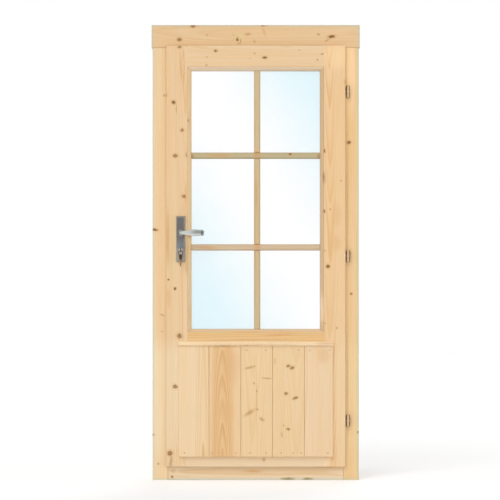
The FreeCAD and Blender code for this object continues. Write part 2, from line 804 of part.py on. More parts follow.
def make_lock():
    lock = new_body("mortise_lock")
    forend = add_sketch(lock, "YZ_Plane", "forend", raised=FOREND_X)
    front, back = across_lock("size.forend_width")
    half = "(size.forend_length / 2)"
    add_rectangle(forend, front, back, f"({LOCK_MIDDLE} - {half})", f"({LOCK_MIDDLE} + {half})")
    add_pad(lock, forend, "size.forend_thickness")
    case = add_sketch(lock, "YZ_Plane", "case", raised=f"({FOREND_X} + size.forend_thickness)")
    front, back = across_lock("size.case_thickness")
    add_rectangle(case, front, back, CASE_FOOT, CASE_TOP)
    add_pad(lock, case, "size.case_depth")
    holes = add_sketch(lock, "YZ_Plane", "bolt_ways", raised=FOREND_X)
    add_bolt_holes(holes, "size.mortise_play")
    add_pocket(lock, holes, "size.latch_length", backwards=True)
    drill_for_lock(lock, "size.spindle_hole_radius")


def make_bolt(label, level, height, tapered):
    """A bolt drawn back into the lock, its head just proud of the forend."""
    bolt = new_body(label)
    section = add_sketch(bolt, "XY_Plane", "section", raised=f"({level} - {height} / 2)")
    front, back = across_lock("size.latch_thickness")
    tip = f"({FOREND_X} - size.latch_reach)"
    inner = f"({FOREND_X} + size.latch_length)"
    if tapered:
        add_outline(section, [
            (inner, front), (inner, back), (tip, back), (tip, f"({back} - size.latch_nose)"),
            (f"({FOREND_X} + size.latch_slope)", front),
        ])
    else:
        add_rectangle(section, inner, tip, front, back)
    add_pad(bolt, section, height)


def make_strike_plate(jamb):
    """Plate let into the lock jamb, opposite the lock, with a pocket behind each bolt's hole."""
    seat = add_sketch(jamb, "YZ_Plane", "strike_seat", raised=f"(-{OPENING_SIDE})")
    front, back = across_lock("size.forend_width", "size.mortise_play")
    half = "(size.strike_length / 2 + size.mortise_play)"
    add_rectangle(seat, front, back, f"({LOCK_MIDDLE} - {half})", f"({LOCK_MIDDLE} + {half})")
    add_pocket(jamb, seat, "size.forend_thickness")
    keeps = add_sketch(jamb, "YZ_Plane", "keeps", raised=f"(-{OPENING_SIDE})")
    add_bolt_holes(keeps, "size.strike_play")
    add_pocket(jamb, keeps, "size.keep_depth")

    plate = new_body("strike_plate")
    outline = add_sketch(plate, "YZ_Plane", "outline", raised=f"(-{OPENING_SIDE})")
    front, back = across_lock("size.forend_width")
    half = "(size.strike_length / 2)"
    add_rectangle(outline, front, back, f"({LOCK_MIDDLE} - {half})", f"({LOCK_MIDDLE} + {half})")
    add_pad(plate, outline, "size.forend_thickness", backwards=True)
    holes = add_sketch(plate, "YZ_Plane", "bolt_holes")
    add_bolt_holes(holes, "size.strike_play")
    add_pocket(plate, holes)


CYLINDER_FACE = f"({LEAF_OUT} - size.plate_thickness - size.cylinder_proud)"


def make_cylinder():
    cylinder = new_body("lock_cylinder")
    length = "(size.leaf_thickness + 2 * size.plate_thickness + 2 * size.cylinder_proud)"
    for profile in cylinder_profile(cylinder, "lock", "0", front=f"(-{CYLINDER_FACE})"):
        add_pad(cylinder, profile, length, backwards=True)
    faces = (("outer", CYLINDER_FACE, False), ("inner", f"({CYLINDER_FACE} + {length})", True))
    for name, face, inward in faces:
        slot = add_sketch(cylinder, "XZ_Plane", f"{name}_key_slot", raised=f"(-{face})")
        half_width = "(size.key_slot_width / 2)"
        half_height = "(size.key_slot_height / 2)"
        add_rectangle(
            slot,
            f"({HANDLE_X} - {half_width})", f"({HANDLE_X} + {half_width})",
            f"({CYLINDER_Z} - {half_height})", f"({CYLINDER_Z} + {half_height})",
        )
        add_pocket(cylinder, slot, "size.key_slot_depth", backwards=inward)


# Keys: one is in the lock, and the other hangs from a ring through the first one's bow

KEY_HALF_WIDTH = "(size.key_slot_height / 2 - size.key_play)"
BOW_MIDDLE = "(size.key_hole_radius + size.key_hole_rim - size.key_bow_radius)"
KEY_STOP = f"({BOW_MIDDLE} - size.key_bow_radius - size.key_neck)"
KEY_TIP = f"({KEY_STOP} - size.key_slot_depth + size.key_end_play)"
# Depth of each cut in the blade's edge, as a share of the deepest one
KEY_CUTS = [0.6, 1.0, 0.4, 0.8, 0.5]
SPARE_KEY_TURN = 30


def make_key(label):
    """A flat key with its bow's hole at the origin, the blade pointing down and the cuts on its +Y edge."""
    key = new_body(label)
    thickness = "(size.key_slot_width - 2 * size.key_play)"
    bow = add_sketch(key, "YZ_Plane", "bow")
    add_circle(bow, "0", BOW_MIDDLE, "size.key_bow_radius")
    add_pad(key, bow, thickness, symmetric=True)
    blade = add_sketch(key, "YZ_Plane", "blade")
    neck_half_width = f"({KEY_HALF_WIDTH} + size.key_shoulder)"
    tip_half_width = f"({KEY_HALF_WIDTH} - size.key_tip_bevel)"
    tip_start = f"({KEY_TIP} + size.key_tip_bevel)"
    add_outline(blade, [
        (neck_half_width, BOW_MIDDLE),
        (f"(-{neck_half_width})", BOW_MIDDLE),
        (f"(-{neck_half_width})", KEY_STOP),
        (f"(-{KEY_HALF_WIDTH})", KEY_STOP),
        (f"(-{KEY_HALF_WIDTH})", tip_start),
        (f"(-{tip_half_width})", KEY_TIP),
        (tip_half_width, KEY_TIP),
        (KEY_HALF_WIDTH, tip_start),
        (KEY_HALF_WIDTH, KEY_STOP),
        (neck_half_width, KEY_STOP),
    ])
    add_pad(key, blade, thickness, symmetric=True)
    hole = add_sketch(key, "YZ_Plane", "ring_hole")
    add_circle(hole, "0", "0", "size.key_hole_radius")
    add_pocket(key, hole)
    cuts = add_sketch(key, "YZ_Plane", "cuts")
    for number, share in enumerate(KEY_CUTS, start=1):
        middle = f"({KEY_STOP} - {number} * size.key_cut_pitch)"
        add_outline(cuts, [
            (KEY_HALF_WIDTH, f"({middle} - size.key_cut_width / 2)"),
            (KEY_HALF_WIDTH, f"({middle} + size.key_cut_width / 2)"),
            (f"({KEY_HALF_WIDTH} - {share} * size.key_cut_depth)", middle),
        ])
    add_pocket(key, cuts)
    return key


def place_key(key, turn, level):
    key.Placement.Rotation = turn
    key.setExpression("Placement.Base.x", HANDLE_X)
    key.setExpression("Placement.Base.y", f"{CYLINDER_FACE} - size.key_play + {KEY_STOP}")
    key.setExpression("Placement.Base.z", level)


def make_keys():
    place_key(make_key("key"), FreeCAD.Rotation(ALONG_X, 90), CYLINDER_Z)
    ring_level = f"({CYLINDER_Z} - size.ring_hang - size.ring_radius)"
    ring = doc.addObject("Part::Torus", "key_ring")
    ring.Label = "key_ring"
    ring.setExpression("Radius1", "size.ring_radius")
    ring.setExpression("Radius2", "size.ring_wire_radius")
    place_key(ring, FreeCAD.Rotation(ALONG_X, 90), ring_level)
    subparts.append(ring)
    spare_level = f"({ring_level} - size.ring_radius - size.ring_hang)"
    place_key(make_key("spare_key"), FreeCAD.Rotation(ALONG_Z, SPARE_KEY_TURN), spare_level)


# Handle

PLATE_TOP = "(size.spindle_height + size.plate_above_spindle)"


def make_backplate(label, face, outward):
    """Long plate with bevelled edges and a collar round the lever's neck."""
    plate = new_body(label)
    raised = f"(-({face}))"
    outline = add_sketch(plate, "XZ_Plane", "outline", raised=raised)
    half = "(size.plate_width / 2)"
    foot = f"({PLATE_TOP} - size.plate_length)"
    add_rectangle(outline, f"({HANDLE_X} - {half})", f"({HANDLE_X} + {half})", foot, PLATE_TOP)
    add_pad(plate, outline, "size.plate_thickness", backwards=outward > 0)

    def front_edges(solid):
        box = solid.Shape.BoundBox
        front = box.YMax if outward > 0 else box.YMin

        def on_front(middle):
            return abs(middle.y - front) < NEAR

        return straight_edges(solid, ALONG_Z, on_front) + straight_edges(solid, ALONG_X, on_front)

    add_chamfer(plate, front_edges, "size.plate_bevel")
    collar = add_sketch(plate, "XZ_Plane", "collar", raised=raised)
    add_circle(collar, HANDLE_X, "size.spindle_height", "size.collar_radius")
    add_pad(plate, collar, "(size.plate_thickness + size.collar_height)", backwards=outward > 0)
    drill_for_lock(plate, "(size.neck_radius + size.neck_play)")


# Share of the lever's length, then how far the height, thickness and rise have gone from elbow to grip
LEVER_SECTIONS = [
    (0.0, 0.0, 0.0, 0.0),
    (0.22, 0.15, 0.2, 0.15),
    (0.36, 0.55, 0.55, 0.55),
    (0.5, 0.95, 0.9, 0.95),
    (0.75, 1.0, 1.0, 1.0),
    (1.0, 1.0, 1.0, 1.0),
]


def add_lever_section(label, along, height, thickness, axis_y, level):
    """An ellipse that stands across the lever."""
    section = doc.addObject("Part::Ellipse", label)
    section.setExpression("MajorRadius", f"{height} / 2")
    section.setExpression("MinorRadius", f"{thickness} / 2")
    section.setExpression("Placement.Base.x", f"{HANDLE_X} + {along}")
    section.setExpression("Placement.Base.y", axis_y)
    section.setExpression("Placement.Base.z", level)
    section.Placement.Rotation = FreeCAD.Rotation(ALONG_Y, -90)
    return section


def add_loft(label, sections):
    loft = doc.addObject("Part::Loft", label)
    loft.Sections = sections
    loft.Solid = True
    return loft


def make_lever(label, face, outward):
    """Round neck, ball elbow and a flat grip that widens towards its bevelled end."""
    seat = f"({face} + {outward} * (size.plate_thickness - size.neck_seat))"
    axis_y = f"({face} + {outward} * (size.plate_thickness + size.lever_standoff))"

    neck = doc.addObject("Part::Cylinder", f"{label}_neck")
    neck.setExpression("Radius", "size.neck_radius")
    neck.setExpression("Height", "size.neck_seat + size.lever_standoff")
    neck.setExpression("Placement.Base.x", HANDLE_X)
    neck.setExpression("Placement.Base.y", seat)
    neck.setExpression("Placement.Base.z", "size.spindle_height")
    neck.Placement.Rotation = FreeCAD.Rotation(ALONG_X, -90 * outward)

    elbow = doc.addObject("Part::Sphere", f"{label}_elbow")
    elbow.setExpression("Radius", "size.neck_radius")
    elbow.setExpression("Placement.Base.x", HANDLE_X)
    elbow.setExpression("Placement.Base.y", axis_y)
    elbow.setExpression("Placement.Base.z", "size.spindle_height")

    sections = []
    for number, (share, height, thickness, rise) in enumerate(LEVER_SECTIONS):
        sections.append(add_lever_section(
            f"{label}_section_{number}",
            f"{share} * (size.lever_length - size.grip_bevel)",
            f"(size.elbow_height + {height} * (size.grip_height - size.elbow_height))",
            f"(size.elbow_thickness + {thickness} * (size.grip_thickness - size.elbow_thickness))",
            axis_y,
            f"size.spindle_height + {rise} * size.grip_rise",
        ))
    end = add_lever_section(
        f"{label}_end_section",
        "size.lever_length",
        "(size.grip_height - 2 * size.grip_bevel)",
        "(size.grip_thickness - 2 * size.grip_bevel)",
        axis_y,
        "size.spindle_height + size.grip_rise",
    )
    grip = add_loft(f"{label}_grip", sections)
    bevelled_end = add_loft(f"{label}_end", [sections[-1], end])

    whole = doc.addObject("Part::MultiFuse", f"{label}_whole")
    whole.Shapes = [neck, elbow, grip, bevelled_end]

    socket = doc.addObject("Part::Box", f"{label}_socket")
    half = "(size.spindle_width / 2 + size.spindle_play)"
    socket.setExpression("Length", f"2 * {half}")
    socket.setExpression("Height", f"2 * {half}")
    socket.setExpression("Width", "size.socket_depth")
    socket.setExpression("Placement.Base.x", f"{HANDLE_X} - {half}")
    start = seat if outward > 0 else f"({seat} - size.socket_depth)"
    socket.setExpression("Placement.Base.y", start)
    socket.setExpression("Placement.Base.z", f"size.spindle_height - {half}")

    lever = doc.addObject("Part::Cut", label)
    lever.Label = label
    lever.Base = whole
    lever.Tool = socket
    subparts.append(lever)


def make_spindle():
    spindle = doc.addObject("Part::Box", "spindle")
    spindle.Label = "spindle"
    reach = "(size.plate_thickness - size.neck_seat + size.socket_depth - size.spindle_end_play)"
    spindle.setExpression("Length", "size.spindle_width")
    spindle.setExpression("Height", "size.spindle_width")
    spindle.setExpression("Width", f"size.leaf_thickness + 2 * {reach}")
    spindle.setExpression("Placement.Base.x", f"{HANDLE_X} - size.spindle_width / 2")
    spindle.setExpression("Placement.Base.y", f"{LEAF_OUT} - {reach}")
    spindle.setExpression("Placement.Base.z", "size.spindle_height - size.spindle_width / 2")
    subparts.append(spindle)


# Assembly

make_frame()
lock_stile = make_stile("lock_stile", -1)
hinge_stile = make_stile("hinge_stile", 1)
make_rails()
make_glass()
make_side_bead("bead_left", -1)
make_side_bead("bead_right", 1)
make_cross_bead("bead_top", TOP_RAIL_FOOT, SIGHT_TOP, -1)
make_cross_bead("bead_bottom", MID_RAIL_TOP, SIGHT_BOTTOM, 1)
make_bars("outside", GLASS_OUT, -1)
make_bars("inside", GLASS_IN, 1)
for board_number in range(1, BOARD_COUNT + 1):
    make_board(board_number)
make_cap_strip()
make_inner_panel()
for hinge_name, hinge_level in zip(HINGE_NAMES, HINGE_LEVELS):
    make_hinge_frame_half(hinge_name, hinge_level)
    make_hinge_leaf_half(hinge_name, hinge_level)
bore_hinge_stile(hinge_stile)
mortise_lock_stile(lock_stile)
make_lock()
make_bolt("latch_bolt", LATCH_Z, "size.latch_height", True)
make_bolt("dead_bolt", BOLT_Z, "size.bolt_height", False)
make_strike_plate(doc.getObject("jamb_left"))
make_cylinder()
make_keys()
make_backplate("backplate_outside", LEAF_OUT, -1)
make_backplate("backplate_inside", LEAF_IN, 1)
make_lever("lever_outside", LEAF_OUT, -1)
make_lever("lever_inside", LEAF_IN, 1)
make_spindle()
doc.recompute()

# Nothing is written unless every feature worked and every sub-part is a sound solid

for item in doc.Objects:
    if "Invalid" in item.State or "Error" in item.State:
        raise RuntimeError(f"{item.Label} failed: {item.State}")
    if item.TypeId == "PartDesign::Pocket":
        if item.Shape.Volume > item.BaseFeature.Shape.Volume - NEAR:
            raise RuntimeError(f"{item.Label} cuts nothing")
for subpart in subparts:
    if subpart.Shape.isNull() or not subpart.Shape.isValid():
        raise RuntimeError(f"{subpart.Label} is not a valid shape")

os.makedirs("parts", exist_ok=True)
for subpart in subparts:
    subpart.Shape.exportStep(f"parts/{subpart.Label}.step")
print(len(subparts), "sub-parts written")
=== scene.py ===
import json
import math
import random

import bmesh
import bpy
from mathutils import Matrix, Vector

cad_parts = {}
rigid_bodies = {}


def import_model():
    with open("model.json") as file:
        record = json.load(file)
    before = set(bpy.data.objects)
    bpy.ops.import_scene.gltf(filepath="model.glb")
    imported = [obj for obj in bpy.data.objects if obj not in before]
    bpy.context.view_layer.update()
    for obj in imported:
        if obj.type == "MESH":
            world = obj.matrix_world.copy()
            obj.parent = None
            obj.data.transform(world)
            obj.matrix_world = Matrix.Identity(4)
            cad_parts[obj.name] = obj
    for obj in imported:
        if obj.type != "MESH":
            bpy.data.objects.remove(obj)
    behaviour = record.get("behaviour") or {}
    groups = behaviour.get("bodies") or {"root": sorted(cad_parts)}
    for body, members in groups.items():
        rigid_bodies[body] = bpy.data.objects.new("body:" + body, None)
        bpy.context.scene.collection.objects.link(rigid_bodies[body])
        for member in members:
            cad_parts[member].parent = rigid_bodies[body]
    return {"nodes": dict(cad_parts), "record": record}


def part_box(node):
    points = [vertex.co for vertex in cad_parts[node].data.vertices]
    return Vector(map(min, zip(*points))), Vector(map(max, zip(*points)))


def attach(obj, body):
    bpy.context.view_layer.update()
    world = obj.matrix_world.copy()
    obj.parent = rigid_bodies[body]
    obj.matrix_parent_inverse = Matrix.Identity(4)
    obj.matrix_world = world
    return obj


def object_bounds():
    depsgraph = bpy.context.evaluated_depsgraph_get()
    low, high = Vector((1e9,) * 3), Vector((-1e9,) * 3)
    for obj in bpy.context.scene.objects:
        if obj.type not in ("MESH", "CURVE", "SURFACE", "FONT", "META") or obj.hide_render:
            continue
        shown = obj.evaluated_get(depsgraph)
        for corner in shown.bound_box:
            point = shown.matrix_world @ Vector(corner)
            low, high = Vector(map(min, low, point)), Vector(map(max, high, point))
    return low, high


# Looks of a half-glazed softwood door in its frame. Metres, and the CAD frame: +Z up, -Y outdoors.

for leftover in list(bpy.data.objects):
    bpy.data.objects.remove(leftover)
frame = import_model()
nodes = frame["nodes"]
cad_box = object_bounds()
random.seed(7)

MM = 0.001


# Camera and lamps

# How wide the photograph is on the door's outdoor face, and where its middle lies there
PHOTO_WIDTH = 2.0635
PHOTO_MIDDLE = (-0.0235, -0.045, 0.9504)
CAMERA_DISTANCE = 10.0
SENSOR_WIDTH = 36.0

# Name, the direction that the light comes from, strength, softness in degrees
LAMPS = [
    ("key_lamp", (-0.30, -0.60, 0.74), 0.95, 28),
    ("front_lamp", (0.05, -1.00, 0.15), 0.965, 30),
    ("right_lamp", (0.95, -0.15, 0.30), 0.80, 60),
    ("left_lamp", (-0.95, -0.15, 0.30), 0.60, 60),
    ("back_lamp", (0.20, 0.92, 0.33), 1.30, 40),
]


def add_camera():
    data = bpy.data.cameras.new("camera")
    data.sensor_width = SENSOR_WIDTH
    data.lens = SENSOR_WIDTH * CAMERA_DISTANCE / PHOTO_WIDTH
    data.clip_end = 100
    camera = bpy.data.objects.new("camera", data)
    bpy.context.scene.collection.objects.link(camera)
    camera.location = (PHOTO_MIDDLE[0], -CAMERA_DISTANCE + PHOTO_MIDDLE[1], PHOTO_MIDDLE[2])
    camera.rotation_euler = (math.radians(90), 0, 0)
    bpy.context.scene.camera = camera


def add_lamp(name, source, strength, softness):
    """Even, soft light that comes from the direction of source. Metal doesn't mirror the lamp."""
    data = bpy.data.lights.new(name, "SUN")
    data.energy = strength
    data.angle = math.radians(softness)
    lamp = bpy.data.objects.new(name, data)
    bpy.context.scene.collection.objects.link(lamp)
    lamp.visible_glossy = False
    lamp.rotation_euler = Vector(source).to_track_quat("Z", "Y").to_euler()


# Node trees


class Tree:
    """Short ways to add and join the nodes of one node tree."""

    def __init__(self, tree):
        self.tree = tree
        tree.nodes.clear()

    def add(self, kind, inputs=(), **settings):
        node = self.tree.nodes.new(kind)
        for name, value in settings.items():
            setattr(node, name, value)
        for key, value in dict(inputs).items():
            self.put(value, node.inputs[key])
        return node

    def put(self, value, socket):
        if isinstance(value, bpy.types.NodeSocket):
            self.tree.links.new(value, socket)
        else:
            socket.default_value = value

    def math(self, operation, *values, clamp=False):
        inputs = dict(enumerate(values))
        return self.add("ShaderNodeMath", inputs, operation=operation, use_clamp=clamp).outputs[0]

    def vector(self, operation, *values):
        node = self.add("ShaderNodeVectorMath", dict(enumerate(values)), operation=operation)
        return node.outputs["Value" if operation == "LENGTH" else "Vector"]

    def combine(self, x, y, z):
        return self.add("ShaderNodeCombineXYZ", {"X": x, "Y": y, "Z": z}).outputs[0]

    def place(self):
        """Where a point lies in the CAD frame."""
        return self.add("ShaderNodeTexCoord").outputs["Object"]

    def axes(self, vector):
        """The vector's three numbers, by the names X, Y and Z."""
        return self.add("ShaderNodeSeparateXYZ", {"Vector": vector}).outputs

    def noise(self, place, scale, detail=2.0, roughness=0.5):
        inputs = {"Vector": place, "Scale": scale, "Detail": detail, "Roughness": roughness}
        return self.add("ShaderNodeTexNoise", inputs).outputs["Fac"]

    def sway(self, noise, reach):
        """Noise as a shift to both sides, half of reach at most."""
        return self.math("MULTIPLY_ADD", noise, reach, -reach / 2)

    def fade(self, value, start, end, low=0.0, high=1.0):
        """Smooth step from low at start to high at end."""
        inputs = {"Value": value, "From Min": start, "From Max": end, "To Min": low, "To Max": high}
        node = self.add("ShaderNodeMapRange", inputs, interpolation_type="SMOOTHSTEP")
        return node.outputs["Result"]

    def inside(self, value, low, high):
        """How far value lies from the nearer one of its limits."""
        from_low = self.math("SUBTRACT", value, low)
        return self.math("MINIMUM", from_low, self.math("SUBTRACT", high, value))

    def blend(self, share, first, second, kind="MIX"):
        node = self.add("ShaderNodeMix", data_type="RGBA", blend_type=kind)
        for key, value in ((0, share), (6, first), (7, second)):
            self.put(value, node.inputs[key])
        return node.outputs[2]

    def ramp(self, value, stops):
        node = self.add("ShaderNodeValToRGB", {"Fac": value})
        elements = node.color_ramp.elements
        while len(elements) < len(stops):
            elements.new(0.5)
        for element, (place, colour) in zip(elements, stops):
            element.position = place
            element.color = colour
        return node.outputs["Color"], node.outputs["Alpha"]

    def bump(self, height, distance, strength=1.0):
        inputs = {"Height": height, "Distance": distance, "Strength": strength}
        return self.add("ShaderNodeBump", inputs).outputs[0]


def linear(red, green, blue, alpha=1.0):
    """A screen colour, 0 to 255, as the linear colour that shaders take."""

    def one(value):
        value = value / 255
        return value / 12.92 if value <= 0.04045 else ((value + 0.055) / 1.055) ** 2.4

    return (one(red), one(green), one(blue), alpha)


def times(colour, factors):
    """A linear colour with its red, green and blue multiplied."""
    return tuple(value * factor for value, factor in zip(colour, factors)) + (1.0,)


def new_material(name):
    material = bpy.data.materials.new(name)
    material.use_nodes = True
    return material, Tree(material.node_tree)


def finish_material(tree, inputs):
    shader = tree.add("ShaderNodeBsdfPrincipled", inputs)
    tree.add("ShaderNodeOutputMaterial", {"Surface": shader.outputs[0]})


# Wood. Every piece is cut from its own growth rings: a pith line beside the piece, rings round it.

# Kind of mark: its colour from the middle outwards as place, red, green, blue (0 to 255) and cover;
# how far it reaches, in half sizes; how much it bends the rings round it, in RING_BEND
MARK_KINDS = {
    "knot": ([
        (0.0, 172, 124, 66, 0.7), (0.14, 146, 98, 44, 0.8), (0.27, 116, 74, 28, 0.85),
        (0.36, 148, 102, 50, 0.6), (0.5, 204, 155, 94, 0.3), (1.0, 224, 184, 136, 0.0),
    ], 2.4, 1.4),
    "dark": ([
        (0.0, 138, 94, 40, 0.95), (0.16, 116, 72, 24, 0.95), (0.28, 114, 70, 22, 0.85),
        (0.38, 148, 100, 46, 0.6), (0.52, 204, 152, 92, 0.3), (1.0, 224, 184, 136, 0.0),
    ], 2.4, 1.4),
    "pin": ([
        (0.0, 138, 92, 42, 0.85), (0.25, 152, 106, 56, 0.65), (0.45, 204, 157, 102, 0.3),
        (1.0, 224, 184, 136, 0.0),
    ], 2.0, 0.8),
    "spike": ([
        (0.0, 190, 146, 94, 0.6), (0.3, 172, 126, 76, 0.65), (0.48, 202, 156, 106, 0.35),
        (1.0, 224, 184, 136, 0.0),
    ], 1.9, 0.8),
    "streak": ([
        (0.0, 200, 142, 84, 0.6), (0.5, 208, 152, 94, 0.4), (1.0, 222, 174, 120, 0.0),
    ], 1.3, 0.2),
    "crack": ([
        (0.0, 104, 66, 38, 0.9), (0.6, 140, 96, 60, 0.6), (1.0, 200, 150, 100, 0.0),
    ], 1.2, 0.0),
    "stain": ([
        (0.0, 150, 104, 60, 0.6), (0.5, 170, 122, 76, 0.4), (1.0, 212, 168, 120, 0.0),
    ], 1.3, 0.0),
    "wane": ([
        (0.0, 120, 112, 70, 0.85), (0.6, 150, 132, 84, 0.6), (1.0, 206, 172, 120, 0.0),
    ], 1.2, 0.0),
    # shade: a darker patch; by the hinges, along the leaf's right edge and the cap strip it is
    # painted shade, on the head it is part of a knot
    "shade": ([
        (0.0, 196, 154, 106, 0.6), (0.5, 204, 162, 114, 0.4), (1.0, 222, 182, 132, 0.0),
    ], 1.2, 0.0),
    "pale": ([
        (0.0, 244, 216, 180, 0.75), (0.6, 243, 214, 178, 0.55), (1.0, 240, 208, 168, 0.0),
    ], 1.2, 0.0),
    "blond": ([
        (0.0, 248, 212, 164, 0.55), (0.55, 247, 211, 163, 0.45), (1.0, 242, 204, 154, 0.0),
    ], 1.2, 0.0),
    "tan": ([
        (0.0, 218, 174, 124, 0.55), (0.5, 220, 176, 126, 0.4), (1.0, 228, 188, 140, 0.0),
    ], 1.2, 0.0),
    "sallow": ([
        (0.0, 212, 196, 140, 0.6), (0.6, 218, 198, 142, 0.4), (1.0, 226, 196, 144, 0.0),
    ], 1.2, 0.0),
}
# What a bend of 1 lifts the rings by, and how far the edge of a mark wanders from side to side
RING_BEND = 0.006
MARK_WOBBLE = 0.012

